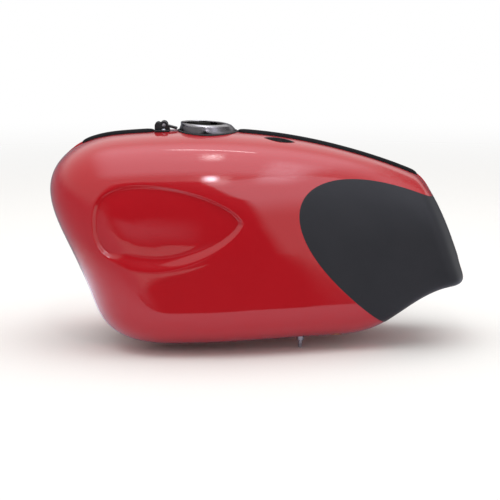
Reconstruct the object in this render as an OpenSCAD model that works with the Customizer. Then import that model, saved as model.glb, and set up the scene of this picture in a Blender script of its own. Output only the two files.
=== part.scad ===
// Motorcycle fuel tank: two pressed half shells over a frame tunnel, with a
// teardrop recess in each flank, a flared filler collar with a hinge bracket
// in front of it, and a moulding over the top seam.
// +X points forward, +Y to the rider's left, +Z up. The origin is the middle
// of the bounding box's lower face.

/* [Body] */
// Greatest half width, beside the filler
half_w = 148; // [145:1:151]
// Half width at the tail
tail_w = 94; // [91:1:97]
// Height of the widest line, as a part of the body's height
waist_part = 0.27; // [0.25:0.01:0.3]
// Thickness of the pressed steel sheet
sheet = 1; // [0.8:0.1:1.4]
// Roundness of the shoulders: more is squarer
shoulder_power = 3.3; // [3.1:0.1:3.5]
// Roundness of the lower edges: more is squarer
belly_power = 4.3; // [4:0.1:4.6]
// Flatness of the top beside the seam: more is flatter
top_flat = 0.5; // [0.4:0.05:0.6]

/* [Teardrop recess] */
// Depth of the pressing below the flank
recess_depth = 8; // [5:0.5:9]
// Length from the rear tip to the round front end
recess_len = 212.5; // [206:0.5:216]
// Half the height at the widest point
recess_half_h = 61; // [58:1:63]

/* [Frame tunnel] */
// Width between the tunnel's outer faces
tunnel_w = 108; // [104:2:112]
// Height of the tunnel's roof at its front end
tunnel_h = 118; // [114:2:122]
// Radius of the tunnel's upper corners
tunnel_r = 24; // [20:1:28]

/* [Filler] */
// Place of the filler's axis ahead of the tank's middle
filler_x = 77.5; // [75:0.5:80]
// Radius of the filler neck's bore
filler_r = 30; // [29:0.5:30.5]
// Outer radius of the collar's shoulder
rim_r = 39; // [38.5:0.25:39.5]
// Outer radius of the collar's foot
foot_r = 41.5; // [41:0.25:42]
// Height of the collar's lip above the crest
rim_h = 11.4; // [11:0.2:12]

/* [Seam moulding] */
// Width of the moulding
strip_w = 24; // [20:1:26]
// Thickness of the moulding
strip_t = 4.4; // [4:0.1:4.6]

/* [Cap hinge] */
// Height of the hinge pin above the crest
hinge_h = 9; // [8.8:0.1:9.4]
// Radius of the hinge pin
pin_r = 2.5; // [2.2:0.1:2.6]

/* [Mountings] */
// Radius of the rubber disc that each front cup takes
front_cup_r = 13; // [12:0.5:13.5]
// Radius of the bolt hole in the rear sleeve
rear_bolt_r = 4.2; // [4:0.1:4.4]
// Radius of the tapped hole in each fuel outlet
outlet_r = 5.9; // [5.7:0.1:6.1]
// Outer radius of the vent pipe
vent_r = 3; // [2.5:0.1:3.2]

/* [Hidden] */

// The form's guide curves, as control heights of evenly spaced cubic B-splines.
crest_from = -380;
crest_step = 60;
crest = [160, 195, 232, 257, 276, 291, 301, 306, 306.5, 305, 300.5, 289.5, 278];
belly_from = -380;
belly_step = 40;
belly = [84, 86, 87, 78, 52, 21, 10, 9, 8, 6, 4, 2, 1, 0, 0, 0, 0, 0, 0];
rake_from = -50;
rake_step = 50;
nose = [194, 218, 236, 254, 276, 304, 326, 324, 290];
tail = [-372, -347, -323, -304, -286, -269, -255, -240, -225];
nose_round = 125;
nose_power = 3;
tail_round = 30;
tail_power = 2.6;
taper_from = -260;
taper_len = 360;

// The form's own axes stand a little off the part's: this brings it home.
low_z = -0.21;
mid_x = -1.78;

// Mesh of a half shell: columns around it, and rings outside, on and inside the recess lip.
columns = 72;
outer_rings = 11;
lip_rings = 3;
floor_rings = 2;
hub = [165, 187];
guide_a = 305;
guide_b = 155;
recess_tip = [17, 191.2];
recess_bow = 31.7;
lip_crisp = 6.5;
lip_soft = 22;

tunnel_tilt = 1.13;
end_margin = 1.5;
edge_margin = 1;
gap = 0.05;

filler_hole_r = foot_r + 0.1;
neck_wall = 1.4;
collar_back = 6.3;
hinge_x = 134.5;
strip_front_x = [148.4, 254];
strip_rear_x = [-235, 25];
baffle_x = 20;
vent_at = [-63, 72];
outlet_at = [-112, 70];
outlet_boss_r = 12;
pocket_at = [-33, 35];
pocket_len = 43;
pocket_w = 15;
pocket_depth = 9;
rear_mount_x = -262;
front_cup_at = [165, 72];

// ---- The form ----

function bspline(v, from, step, at) =
    let (s = (at - from) / step, i = max(1, min(len(v) - 3, floor(s))), t = s - i)
    (pow(1 - t, 3) * v[i - 1] + (3 * pow(t, 3) - 6 * t * t + 4) * v[i]
        + (3 * (t + t * t - pow(t, 3)) + 1) * v[i + 1] + pow(t, 3) * v[i + 2]) / 6;

function ease(t) = let (u = max(0, min(1, t))) u * u * (3 - 2 * u);
function soft_ease(t) = let (u = max(0, min(1, t))) pow(u, 3) * (u * (6 * u - 15) + 10);

function crest_z(x) = bspline(crest, crest_from, crest_step, x);
function belly_z(x) = bspline(belly, belly_from, belly_step, x);
function nose_x(z) = bspline(nose, rake_from, rake_step, z);
function tail_x(z) = bspline(tail, rake_from, rake_step, z);
function waist_z(x) = belly_z(x) + waist_part * (crest_z(x) - belly_z(x));
function width(x) = tail_w + (half_w - tail_w) * soft_ease((x - taper_from) / taper_len);

// Fullness is 1 deep inside the side outline and 0 on it.
function fullness(x, z) =
    let (waist = waist_z(x), up = z > waist,
         rise = up ? (z - waist) / (crest_z(x) - waist) : (waist - z) / (waist - belly_z(x)),
         front = max(0, 1 - (nose_x(z) - x) / nose_round),
         rear = max(0, 1 - (x - tail_x(z)) / tail_round))
    1 - pow(rise, up ? shoulder_power : belly_power)
        - pow(front, nose_power) - pow(rear, tail_power);

// Power of the section across: 2 up to the waist, and more towards the flat top.
function section_power(x, z) =
    2 + top_flat * ease((z - waist_z(x)) / (crest_z(x) - waist_z(x)) / 0.6);

// Distance of the smooth flank from the centre plane.
function flank_y(x, z) = width(x) * pow(max(0, fullness(x, z)), 1 / section_power(x, z));

// Height of the smooth top at a place seen from above, clear of nose and tail.
function top_z(x, y) =
    waist_z(x) + (crest_z(x) - waist_z(x))
        * pow(1 - pow(abs(y) / width(x), 2 + top_flat), 1 / shoulder_power);

// Height of the top's centre line, nose included.
function top_line(x, low = 140, high = 320, n = 24) =
    n == 0 ? low
    : let (z = (low + high) / 2)
      fullness(x, z) > 0 ? top_line(x, z, high, n - 1) : top_line(x, low, z, n - 1);

// Outward normal of the smooth form.
function form_value(p) =
    pow(abs(p[1]) / width(p[0]), section_power(p[0], p[2])) - fullness(p[0], p[2]);
function form_normal(p, h = 0.2) =
    let (g = [for (a = [[h, 0, 0], [0, h, 0], [0, 0, h]]) form_value(p + a) - form_value(p - a)])
    g / norm(g);

// ---- Side outline and recess outline, met by rays from the hub ----

function ray_dir(i) =
    let (t = 360 * i / columns, e = [guide_a * cos(t), guide_b * (1 + sin(t))] - hub) e / norm(e);

function outline_reach(d, low = 20, high = 560, n = 26) =
    n == 0 ? low
    : let (r = (low + high) / 2, p = hub + d * r)
      fullness(p[0], p[1]) > 0 ? outline_reach(d, r, high, n - 1) : outline_reach(d, low, r, n - 1);

// The teardrop: a blunt round end in front, narrowing to a small round tip behind; half its
// height is swell * u^0.683 * (1 - u)^0.382, whose greatest value is 0.4993 * swell.
recess_swell = recess_half_h / 0.4993;
function recess_gap(p) =
    let (u = (p[0] - recess_tip[0]) / recess_len)
    u <= 0 || u >= 1 ? 1
    : abs(p[1] - recess_tip[1] + recess_bow * u * (1 - u))
        - recess_swell * pow(u, 0.683) * pow(1 - u, 0.382);

function recess_reach(d, low = 0, high = 260, n = 26) =
    n == 0 ? low
    : let (r = (low + high) / 2)
      recess_gap(hub + d * r) < 0 ? recess_reach(d, r, high, n - 1) : recess_reach(d, low, r, n - 1);

// The lip is crisp in front and above, and soft below and towards the lower rear.
function lip_width(d) = lip_crisp + (lip_soft - lip_crisp) * ease(-0.35 - 1.6 * (d * [0.35, 0.94]));

// Rows of one column, from the outline to the hub: [reach, depth of the recess].
function column_rows(i) =
    let (d = ray_dir(i), edge = outline_reach(d), lip = recess_reach(d),
         floor_reach = lip - min(lip_width(d), 0.55 * lip))
    concat([for (j = [0:outer_rings - 1]) [edge - (edge - lip) * pow(j / outer_rings, 2.3), 0]],
           [for (j = [0:lip_rings]) [lip + (floor_reach - lip) * j / lip_rings,
                                     recess_depth * ease(j / lip_rings)]],
           [for (j = [1:floor_rings]) [floor_reach * (1 - j / (floor_rings + 1)), recess_depth]]);

function skin_point(i, row, inner) =
    let (q = hub + ray_dir(i) * row[0], on_edge = row[0] > 0 && row[2] == 0,
         y = on_edge ? 0 : flank_y(q[0], q[1]),
         p = [q[0], y, q[1]],
         n = form_normal(p))
    p - [0, row[1], 0] - (inner ? sheet * (on_edge ? [n[0], 0, n[2]] / norm([n[0], n[2]]) : n)
                                : [0, 0, 0]);

rows_per_column = outer_rings + lip_rings + 1 + floor_rings;
module half_shell() {
    table = [for (i = [0:columns - 1])
        let (rows = column_rows(i)) [for (j = [0:rows_per_column - 1]) concat(rows[j], [j])]];
    skin = [for (inner = [false, true]) for (i = [0:columns - 1]) for (row = table[i])
        skin_point(i, row, inner)];
    middle = [hub[0], flank_y(hub[0], hub[1]) - recess_depth, hub[1]];
    n = rows_per_column;
    side = columns * n;
    function at(i, j) = (i % columns) * n + j;
    points = concat(skin, [middle, middle - [0, sheet, 0]]);
    outer = [for (i = [0:columns - 1]) for (j = [0:n - 2])
        each [[at(i, j), at(i + 1, j), at(i + 1, j + 1)], [at(i, j), at(i + 1, j + 1), at(i, j + 1)]]];
    hub_fan = [for (i = [0:columns - 1]) [at(i, n - 1), at(i + 1, n - 1), 2 * side]];
    outer_all = concat(outer, hub_fan);
    inner_all = [for (f = outer_all)
        [for (k = [2, 1, 0]) f[k] == 2 * side ? 2 * side + 1 : f[k] + side]];
    rim = [for (i = [0:columns - 1])
        each [[at(i, 0), at(i, 0) + side, at(i + 1, 0) + side],
              [at(i, 0), at(i + 1, 0) + side, at(i + 1, 0)]]];
    polyhedron(points, concat(outer_all, inner_all, rim));
}

// ---- Placing helpers ----

module place() {
    translate([-mid_x, 0, -low_z]) children();
}

module both(left) {
    if (left) children();
    else mirror([0, 1, 0]) children();
}

// A flat shape drawn in X and Z, given its thickness across the tank.
module side_plate(from_y, to_y) {
    translate([0, to_y, 0]) rotate([90, 0, 0]) linear_extrude(to_y - from_y) children();
}

// The tunnel's frame: X along its roof, Z up from the form's underside.
module along_tunnel() {
    rotate([0, tunnel_tilt, 0]) translate([0, 0, tunnel_h + guide_a * sin(tunnel_tilt)]) children();
}

module arch(half, drop, r) {
    translate([-half, -400]) square([2 * half, 400 - drop - r]);
    translate([r - half, -drop - r - 1]) square([2 * (half - r), r + 1]);
    for (side = [-1, 1]) translate([side * (half - r), -drop - r]) circle(r = r, $fn = 96);
}

module tunnel_space(grow) {
    along_tunnel() translate([-400, 0, 0]) rotate([90, 0, 90])
        linear_extrude(800) arch(tunnel_w / 2 + grow, -grow, tunnel_r + grow);
}

// ---- Sub-parts ----

module shell(left) {
    color("firebrick") both(left) difference() {
        half_shell();
        tunnel_space(gap);
        translate([filler_x - collar_back, 0, 250]) cylinder(r = filler_hole_r, h = 100, $fn = 96);
        translate([outlet_at[0], outlet_at[1], -20])
            cylinder(r = outlet_boss_r + gap, h = 90, $fn = 64);
        if (left) translate([vent_at[0], vent_at[1], -20]) cylinder(r = 5.6, h = 80, $fn = 48);
        at_pocket() translate([0, 0, -4]) linear_extrude(30) lens(gap);
        translate([hinge_x, screw_y, 250]) cylinder(r = 1.75, h = 100, $fn = 32);
    }
}

place() shell(true);  // left_shell
place() shell(false);  // right_shell

module at_pocket() {
    lean = atan(top_slope(pocket_at)[1]);
    pitch = atan(top_slope(pocket_at)[0]);
    translate([pocket_at[0], pocket_at[1], top_z(pocket_at[0], pocket_at[1])])
        rotate([lean, -pitch, 0]) children();
}
function top_slope(p, h = 1) =
    [(top_z(p[0] + h, p[1]) - top_z(p[0] - h, p[1])) / (2 * h),
     (top_z(p[0], p[1] + h) - top_z(p[0], p[1] - h)) / (2 * h)];
module lens(grow) {
    r = (pow(pocket_len / 2, 2) + pow(pocket_w / 2, 2)) / pocket_w;
    intersection_for (side = [-1, 1])
        translate([0, side * (r - pocket_w / 2)]) circle(r = r + grow, $fn = 180);
}

// The pressing that closes the shells over the frame: an arch with raked ends.
module tunnel() {
    color("firebrick") intersection() {
        along_tunnel() translate([-400, 0, 0]) rotate([90, 0, 90]) linear_extrude(800) difference() {
            arch(tunnel_w / 2, 0, tunnel_r);
            arch(tunnel_w / 2 - sheet, sheet, tunnel_r - sheet);
        }
        side_plate(-tunnel_w, tunnel_w) side_outline(edge_margin);
        raked_prism();
    }
}

module side_outline(grow) {
    polygon([for (i = [0:columns - 1])
        let (d = ray_dir(i)) hub + d * (outline_reach(d) + grow)]);
}

// Seen along the rake, the tunnel's ends follow the shells' own rounding.
module raked_prism() {
    rake = atan((nose_x(100) - nose_x(0)) / 100);
    function recede(y, x, len, power) = len * (1 - pow(1 - pow(y / width(x), 2), 1 / power));
    half = tunnel_w / 2;
    rows = [-half, -0.8 * half, -0.55 * half, -0.3 * half, 0,
            0.3 * half, 0.55 * half, 0.8 * half, half];
    front = [for (y = rows)
        [nose_x(0) - recede(y, nose_x(0), nose_round, nose_power) + end_margin, y]];
    foot = tail_x(110) - 110 * tan(rake);
    back = [for (y = rows) [foot + recede(y, foot, tail_round, tail_power) - end_margin, -y]];
    rotate([0, rake, 0]) translate([0, 0, -200]) linear_extrude(600)
        polygon([for (p = concat(front, back)) [p[0] * cos(rake), p[1]]]);
}

place() tunnel();

// The raised flange that joins the shells along the top, tapered at its ends.
seam_w = 4;
seam_h = 2.2;
seam_runs = [[150, 278], [-258, 25.6]];
function seam_rise(x, run) =
    seam_h * min(ease((x - run[0] + 1) / 16), ease((run[1] - x + 1) / 24));

// Stations along a run, closer together where the top line bends at its ends.
stations = 36;
function station(run, k) = run[0] + (run[1] - run[0]) * (1 - cos(180 * k / stations)) / 2;

module band(run, low, high, half) {
    xs = [for (k = [0:stations]) station(run, k)];
    side_plate(-half, half)
        polygon(concat([for (x = xs) [x, top_line(x) + low]],
                       [for (k = [stations:-1:0]) [xs[k], top_line(xs[k]) + high[k]]]));
}

module top_seam() {
    lift = 4 * gap;
    color("firebrick") for (run = seam_runs)
        band(run, lift, [for (k = [0:stations]) lift + seam_rise(station(run, k), run)], seam_w / 2);
}

place() top_seam();

// Moulding: round-ended in plan, with a groove that grips the seam flange.
module strip(run) {
    r = strip_w / 2;
    level = [for (k = [0:stations]) 1];
    color("#1c1c1e") difference() {
        intersection() {
            band(run, gap, strip_t * level, r);
            translate([0, 0, 100]) linear_extrude(300) {
                translate([run[0] + r, -r]) square([run[1] - run[0] - 2 * r, 2 * r]);
                for (x = [run[0] + r, run[1] - r]) translate([x, 0]) circle(r = r, $fn = 64);
            }
        }
        band(run + [-5, 5], -2, (seam_h + 5 * gap) * level, seam_w / 2 + gap);
    }
}

place() strip(strip_front_x);  // strip_front
place() strip(strip_rear_x);  // strip_rear

// ---- Filler ----

module at_filler() {
    translate([filler_x, 0, crest_z(filler_x)]) children();
}

// A closed loop of [shift, radius, height] rows, each carried round as a circle whose centre
// stands off the filler's axis by its shift.
module round_loop(rows, steps) {
    m = len(rows);
    polyhedron(
        [for (i = [0:steps - 1]) for (r = rows)
            [r[0] + r[1] * cos(360 * i / steps), r[1] * sin(360 * i / steps), r[2]]],
        [for (i = [0:steps - 1]) for (k = [0:m - 1])
            let (a = m * i + k, b = m * i + (k + 1) % m,
                 c = m * ((i + 1) % steps) + (k + 1) % m, d = m * ((i + 1) % steps) + k)
            each [[a, b, c], [a, c, d]]]);
}

// Collar: an upright skirt, a shoulder, and a top that rises to a lip round the neck. The skirt
// stands further back than the neck, which leaves a broad ledge behind the mouth.
function collar_top(s, drop) =
    [-collar_back * (1 - s), rim_r + (filler_r + neck_wall + 1.2 - rim_r) * s - drop,
     rim_h - 3.2 * pow(1 - s, 1.6) - drop];
module filler_collar() {
    wall = 1.1;
    skirt_low = -8;
    bore = filler_r + neck_wall + 0.1;
    flare = [for (q = [0:0.25:1])
        [-collar_back, rim_r + (foot_r - rim_r) * pow(1 - q, 1.8), -1 + (rim_h - 3.2) * q]];
    top = [for (s = [0.15:0.2:0.95]) collar_top(s, 0)];
    under = [for (s = [0.8:-0.25:0.05]) collar_top(s, wall)];
    at_filler() color("silver") round_loop(concat(
        [[-collar_back, foot_r - wall, skirt_low], [-collar_back, foot_r, skirt_low]], flare, top,
        [[0, bore + 0.6, rim_h], [0, bore, rim_h - 0.6], [0, bore, rim_h - 3]], under), 64);
}

// Neck: a tube into the tank, slotted at its mouth for the cap's two lugs.
module filler_neck() {
    mouth = rim_h - 3;
    at_filler() color("dimgray") difference() {
        translate([0, 0, -26]) difference() {
            union() {
                cylinder(r = filler_r + neck_wall, h = 26 + mouth, $fn = 120);
                translate([-collar_back, 0, 14]) cylinder(r = foot_r - 2.1, h = 1.6, $fn = 120);
            }
            translate([0, 0, -1]) cylinder(r = filler_r, h = 60, $fn = 120);
        }
        for (turn = [60, 240]) rotate([0, 0, turn])
            translate([filler_r - 3, -6, mouth - 5]) cube([10, 12, 10]);
    }
}

// Gasket: a ring of square section that follows the arch of the tank's top.
module collar_gasket() {
    n = 60;
    foot_x = filler_x - collar_back;
    ring = [[foot_r + 0.15, 0.1], [foot_r + 2.4, 0.1], [foot_r + 2.4, 1.2], [foot_r + 0.15, 2]];
    function spot(i, k) =
        let (a = 360 * i / n, c = cos(a), s = sin(a), r = ring[k][0])
        [foot_x + r * c, r * s, top_z(foot_x + r * c, r * s) + ring[k][1]];
    color("#151515") polyhedron(
        [for (i = [0:n - 1]) for (k = [0:3]) spot(i, k)],
        [for (i = [0:n - 1]) for (k = [0:3])
            let (a = 4 * i + k, b = 4 * i + (k + 1) % 4,
                 c = 4 * ((i + 1) % n) + (k + 1) % 4, d = 4 * ((i + 1) % n) + k)
            each [[a, b, c], [a, c, d]]]);
}

place() filler_collar();
place() filler_neck();
place() collar_gasket();

// ---- Cap hinge ----

knuckle_r = 5.8;
ear_t = 3.4;
ear_gap = 12.4;
ear_boss = [8.4, 8.4];
ear_boss_r = 4.9;
base_t = 2.4;
base_rear = -8;
base_front = 13.3;
base_half = 16.6;
screw_y = 13;
stop_h = 5;
arm_drop = 15;
arm_reach = 19.5;
arm_hole_at = 16;

module at_hinge() {
    translate([hinge_x, 0, crest_z(hinge_x)]) children();
}

// The tank's top under the hinge: its radius across the tank, and its fall towards the nose.
arch_r = pow(base_half, 2) / (2 * (top_z(hinge_x, 0) - top_z(hinge_x, base_half)));
hinge_fall = atan((crest_z(hinge_x - 5) - crest_z(hinge_x + 5)) / 10);

module hinge_bracket() {
    color("#202020") at_hinge() difference() {
        union() {
            translate([base_rear, -base_half, -1])
                cube([base_front - base_rear, 2 * base_half, base_t + 1]);
            for (side = [-1, 1])
                side_ear(side > 0 ? ear_gap / 2 : -ear_gap / 2 - ear_t);
            translate([base_rear, -5, base_t - 1]) cube([3, 10, stop_h + 1 - base_t]);
        }
        translate([0, 0, 2 * gap - arch_r]) rotate([0, 90 + hinge_fall, 0])
            cylinder(r = arch_r, h = 60, center = true, $fn = 240);
        translate([0, 30, hinge_h]) rotate([90, 0, 0]) cylinder(r = pin_r + 0.01, h = 60, $fn = 48);
        for (side = [-1, 1]) translate([0, side * screw_y, -5]) cylinder(r = 1.7, h = 20, $fn = 32);
    }
}

module side_ear(from_y) {
    side_plate(from_y, from_y + ear_t) {
        translate([0, hinge_h]) circle(r = knuckle_r, $fn = 64);
        translate(ear_boss) circle(r = ear_boss_r, $fn = 64);
        polygon([[base_rear, 1], [base_front, 1], ear_boss + [ear_boss_r, 0],
                 ear_boss + [0, 0.7 * ear_boss_r], [0, hinge_h + 0.7 * knuckle_r],
                 [-knuckle_r, hinge_h]]);
    }
}

module hinge_pin() {
    reach = ear_gap / 2 + ear_t;
    color("dimgray") at_hinge() translate([0, 0, hinge_h]) rotate([90, 0, 0]) {
        translate([0, 0, -reach - 0.5]) cylinder(r = pin_r, h = 2 * reach + 1, $fn = 48);
        translate([0, 0, reach + 0.05]) cylinder(r = pin_r + 1.2, h = 1, $fn = 48);
    }
}

// Leaf: the knuckle between the ears, and the stub arm that carries a cap.
module hinge_leaf() {
    half = ear_gap / 2 - 0.2;
    color("#202020") at_hinge() translate([0, 0, hinge_h]) difference() {
        side_plate(-half, half) {
            circle(r = knuckle_r - 0.4, $fn = 64);
            rotate(arm_drop) translate([-arm_reach, -1.4]) square([arm_reach, 3]);
        }
        translate([0, 30, 0]) rotate([90, 0, 0]) cylinder(r = pin_r + gap, h = 60, $fn = 48);
        for (side = [-1, 1]) rotate([0, -arm_drop, 0])
            translate([-arm_hole_at, side * 3, -10]) cylinder(r = 1.1, h = 20, $fn = 24);
    }
}

module hinge_screws() {
    color("dimgray") at_hinge() for (side = [-1, 1]) translate([0, side * screw_y, 0]) {
        translate([0, 0, -6]) cylinder(r = 1.65, h = 5.5 + base_t, $fn = 48);
        translate([0, 0, base_t]) rotate_extrude($fn = 48)
            polygon([[0, -1], [1.65, -1], [1.65, 0.02], [3.2, 0.02], [3.2, 0.8], [2.6, 1.7],
                     [1.4, 2.2], [0, 2.3]]);
    }
}

place() hinge_bracket();
place() hinge_pin();
place() hinge_leaf();
place() hinge_screws();

// ---- Mountings ----

// Front cup: a channel, open to the front, that slides over a rubber disc.
module front_cup(left) {
    wall = 3;
    reach = 30;
    face_y = tunnel_w / 2 - sheet - gap;
    color("dimgray") both(left) translate([front_cup_at[0], 0, front_cup_at[1]]) {
        side_plate(face_y - 2.5, face_y) channel_shape(front_cup_r + wall, reach);
        side_plate(face_y - 13, face_y - 2.5) difference() {
            channel_shape(front_cup_r + wall, reach);
            channel_shape(front_cup_r, reach + 1);
        }
    }
}

module channel_shape(r, reach) {
    circle(r = r, $fn = 96);
    translate([0, -r]) square([reach, 2 * r]);
}

place() front_cup(true);  // front_cup_left
place() front_cup(false);  // front_cup_right

// Rear bracket: a hat section hung from the tunnel's roof.
hat_half = 19;
hat_drop = 24;
hat_t = 2.5;
hat_len = 44;
grommet_r = 10;

module at_rear_mount() {
    along_tunnel() translate([rear_mount_x, 0, -sheet - gap]) children();
}

module rear_bracket() {
    flange = 9;
    color("dimgray") at_rear_mount() difference() {
        translate([-hat_len / 2, 0, 0]) rotate([90, 0, 90]) linear_extrude(hat_len) {
            for (side = [-1, 1]) {
                translate([side > 0 ? hat_half - hat_t : -hat_half - flange, -hat_t])
                    square([flange + hat_t, hat_t]);
                translate([side > 0 ? hat_half - hat_t : -hat_half, -hat_drop])
                    square([hat_t, hat_drop]);
            }
            translate([-hat_half, -hat_drop]) square([2 * hat_half, hat_t]);
        }
        translate([0, 0, -hat_drop - 1]) cylinder(r = grommet_r, h = hat_t + 2, $fn = 64);
    }
}

module rear_grommet() {
    color("#151515") at_rear_mount() translate([0, 0, hat_t / 2 - hat_drop]) rotate_extrude($fn = 64)
        polygon([[rear_bolt_r + 1.7, -6], [grommet_r + 2, -6], [grommet_r + 2.6, -5],
                 [grommet_r + 2.6, -hat_t / 2 - gap], [grommet_r - gap, -hat_t / 2 - gap],
                 [grommet_r - gap, hat_t / 2 + gap], [grommet_r + 2.6, hat_t / 2 + gap],
                 [grommet_r + 2.6, 5], [grommet_r + 2, 6], [rear_bolt_r + 1.7, 6]]);
}

module rear_sleeve() {
    color("silver") at_rear_mount() translate([0, 0, hat_t / 2 - hat_drop - 7]) difference() {
        cylinder(r = rear_bolt_r + 1.6, h = 14, $fn = 64);
        translate([0, 0, -1]) cylinder(r = rear_bolt_r, h = 16, $fn = 64);
    }
}

place() rear_bracket();
place() rear_grommet();
place() rear_sleeve();

// ---- Fuel outlets, vent, baffles and shoulder pockets ----

// Outlet: a bung through the underside, tapped for a fuel tap.
module outlet(left) {
    low = 21;
    color("darkgoldenrod") both(left) translate([outlet_at[0], outlet_at[1], low]) difference() {
        union() {
            cylinder(r = outlet_boss_r, h = 20, $fn = 64);
            translate([0, 0, 17]) cylinder(r = outlet_boss_r + 3, h = 3, $fn = 64);
        }
        translate([0, 0, -1]) cylinder(r = outlet_r, h = 22, $fn = 64);
    }
}

module vent_pipe() {
    bore_r = vent_r - 0.8;
    top = top_z(vent_at[0], vent_at[1]) - 9;
    color("dimgray") translate([vent_at[0], vent_at[1], 0]) difference() {
        union() {
            translate([0, 0, 0.2]) cylinder(r = vent_r, h = top, $fn = 48);
            translate([0, 0, 11]) cylinder(r = 5.5, h = 8, $fn = 48);
        }
        translate([0, 0, -1]) cylinder(r = bore_r, h = top + 10, $fn = 48);
    }
}

// Baffle: a plate across each half, drilled so that fuel passes slowly.
module baffle(left) {
    t = 1.2;
    clear = 3;
    side = tunnel_w / 2 + 0.4;
    floor_z = 34;
    top = 250;
    roof = tunnel_h + 10;
    color("gray") both(left) difference() {
        translate([baffle_x, 0, 0]) rotate([90, 0, 90]) linear_extrude(t)
            polygon(concat([[side, floor_z], [side, roof], [10, roof], [10, top]],
                [for (k = [0:12]) let (z = top + (floor_z - top) * k / 12)
                    [flank_y(baffle_x, z) - recess_at_baffle(z) - clear, z]]));
        for (hole = [[86, 70], [86, 122], [70, 190]])
            translate([baffle_x - 5, hole[0], hole[1]]) rotate([0, 90, 0])
                cylinder(r = 16, h = 12, $fn = 64);
    }
}
function recess_at_baffle(z) = recess_depth * ease((recess_half_h - abs(z - recess_tip[1])) / 30);

// Pocket: a lens-shaped cup let into each shoulder beside the moulding.
module pocket(left) {
    wall = 1;
    color("#301014") both(left) at_pocket() difference() {
        translate([0, 0, -pocket_depth]) linear_extrude(pocket_depth - 0.3) lens(0);
        translate([0, 0, wall - pocket_depth]) linear_extrude(pocket_depth) lens(-wall);
    }
}

place() outlet(true);  // outlet_left
place() outlet(false);  // outlet_right
place() vent_pipe();
place() baffle(true);  // baffle_left
place() baffle(false);  // baffle_right
place() pocket(true);  // pocket_left
place() pocket(false);  // pocket_right
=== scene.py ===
"""Looks of a motorcycle fuel tank: its painted skins, seam moulding, filler, cap hinge and fixings."""
import math

import bpy
import numpy as np
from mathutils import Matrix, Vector


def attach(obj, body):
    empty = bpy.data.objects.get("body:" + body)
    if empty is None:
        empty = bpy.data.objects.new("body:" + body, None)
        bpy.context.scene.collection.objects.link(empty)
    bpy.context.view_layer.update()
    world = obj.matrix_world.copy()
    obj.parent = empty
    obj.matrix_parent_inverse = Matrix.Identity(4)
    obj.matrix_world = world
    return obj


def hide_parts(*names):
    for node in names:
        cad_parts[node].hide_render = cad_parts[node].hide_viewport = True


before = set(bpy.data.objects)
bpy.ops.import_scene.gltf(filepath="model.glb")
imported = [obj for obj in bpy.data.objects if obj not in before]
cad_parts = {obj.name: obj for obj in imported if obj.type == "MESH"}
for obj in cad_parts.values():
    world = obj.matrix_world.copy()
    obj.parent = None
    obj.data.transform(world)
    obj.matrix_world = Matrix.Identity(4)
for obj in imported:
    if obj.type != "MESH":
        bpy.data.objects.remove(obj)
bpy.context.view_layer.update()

bl_info = {
    "name": "Saddle Fuel Tank",
    "version": (1, 0, 0),
    "blender": (4, 5, 0),
    "location": "3D View > Sidebar > Fuel Tank",
    "description": "Dresses the packed fuel tank in painted skins, trim and fittings",
    "category": "Add Mesh",
}

MM = 0.001

# ---- The tank's form, in millimetres on its own axes ----

# From the form's own axes to the frame's.
SHIFT = np.array((1.78, 0.0, 0.21))

# Half widths at the middle and the tail, where the taper between them starts and its length.
HALF_W, TAIL_W = 148.0, 94.0
TAPER_FROM, TAPER_LEN = -260.0, 360.0

# The widest line, as a part of the way from belly to crest, and the powers of the section.
WAIST_PART = 0.27
SHOULDER_POWER, BELLY_POWER, TOP_FLAT, TOP_FLAT_PART = 3.3, 4.3, 0.5, 0.6
NOSE_ROUND, NOSE_POWER = 125.0, 3.0
TAIL_ROUND, TAIL_POWER = 30.0, 2.6

# Guide curves: the first control's place, their spacing and their heights or reaches.
CREST = (-380, 60, (160, 195, 232, 257, 276, 291, 301, 306, 306.5, 305, 300.5, 289.5, 278))
BELLY = (-380, 40, (84, 86, 87, 78, 52, 21, 10, 9, 8, 6, 4, 2, 1, 0, 0, 0, 0, 0, 0))
NOSE = (-50, 50, (194, 218, 236, 254, 276, 304, 326, 324, 290))
TAIL = (-50, 50, (-372, -347, -323, -304, -286, -269, -255, -240, -225))

# The hub that the shell's rays start from, the ellipse that sets their directions, lengths that
# lie inside and outside every outline they look for, and the power that crowds rings at the edge.
HUB = np.array((165.0, 187.0))
GUIDE_A, GUIDE_B = 305.0, 155.0
RAY_INSIDE, RAY_PAST_LIP, RAY_PAST_EDGE = 20.0, 260.0, 560.0
RING_CROWD = 2.4

# The teardrop: tip, length, how far its axis bows down, its half height over the largest value
# of its outline's formula, and the part of its depth that it loses along the top. Its lip turns
# soft on the side away from LIP_FACING, and takes at most LIP_PART of the way to the hub.
RECESS_TIP, RECESS_LEN, RECESS_BOW = (17.0, 191.2), 212.5, 31.7
RECESS_SWELL = 61.0 / 0.4993
RECESS_EASED = 0.45
LIP_FACING, LIP_PART = np.array((0.35, 0.94)), 0.55

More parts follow.
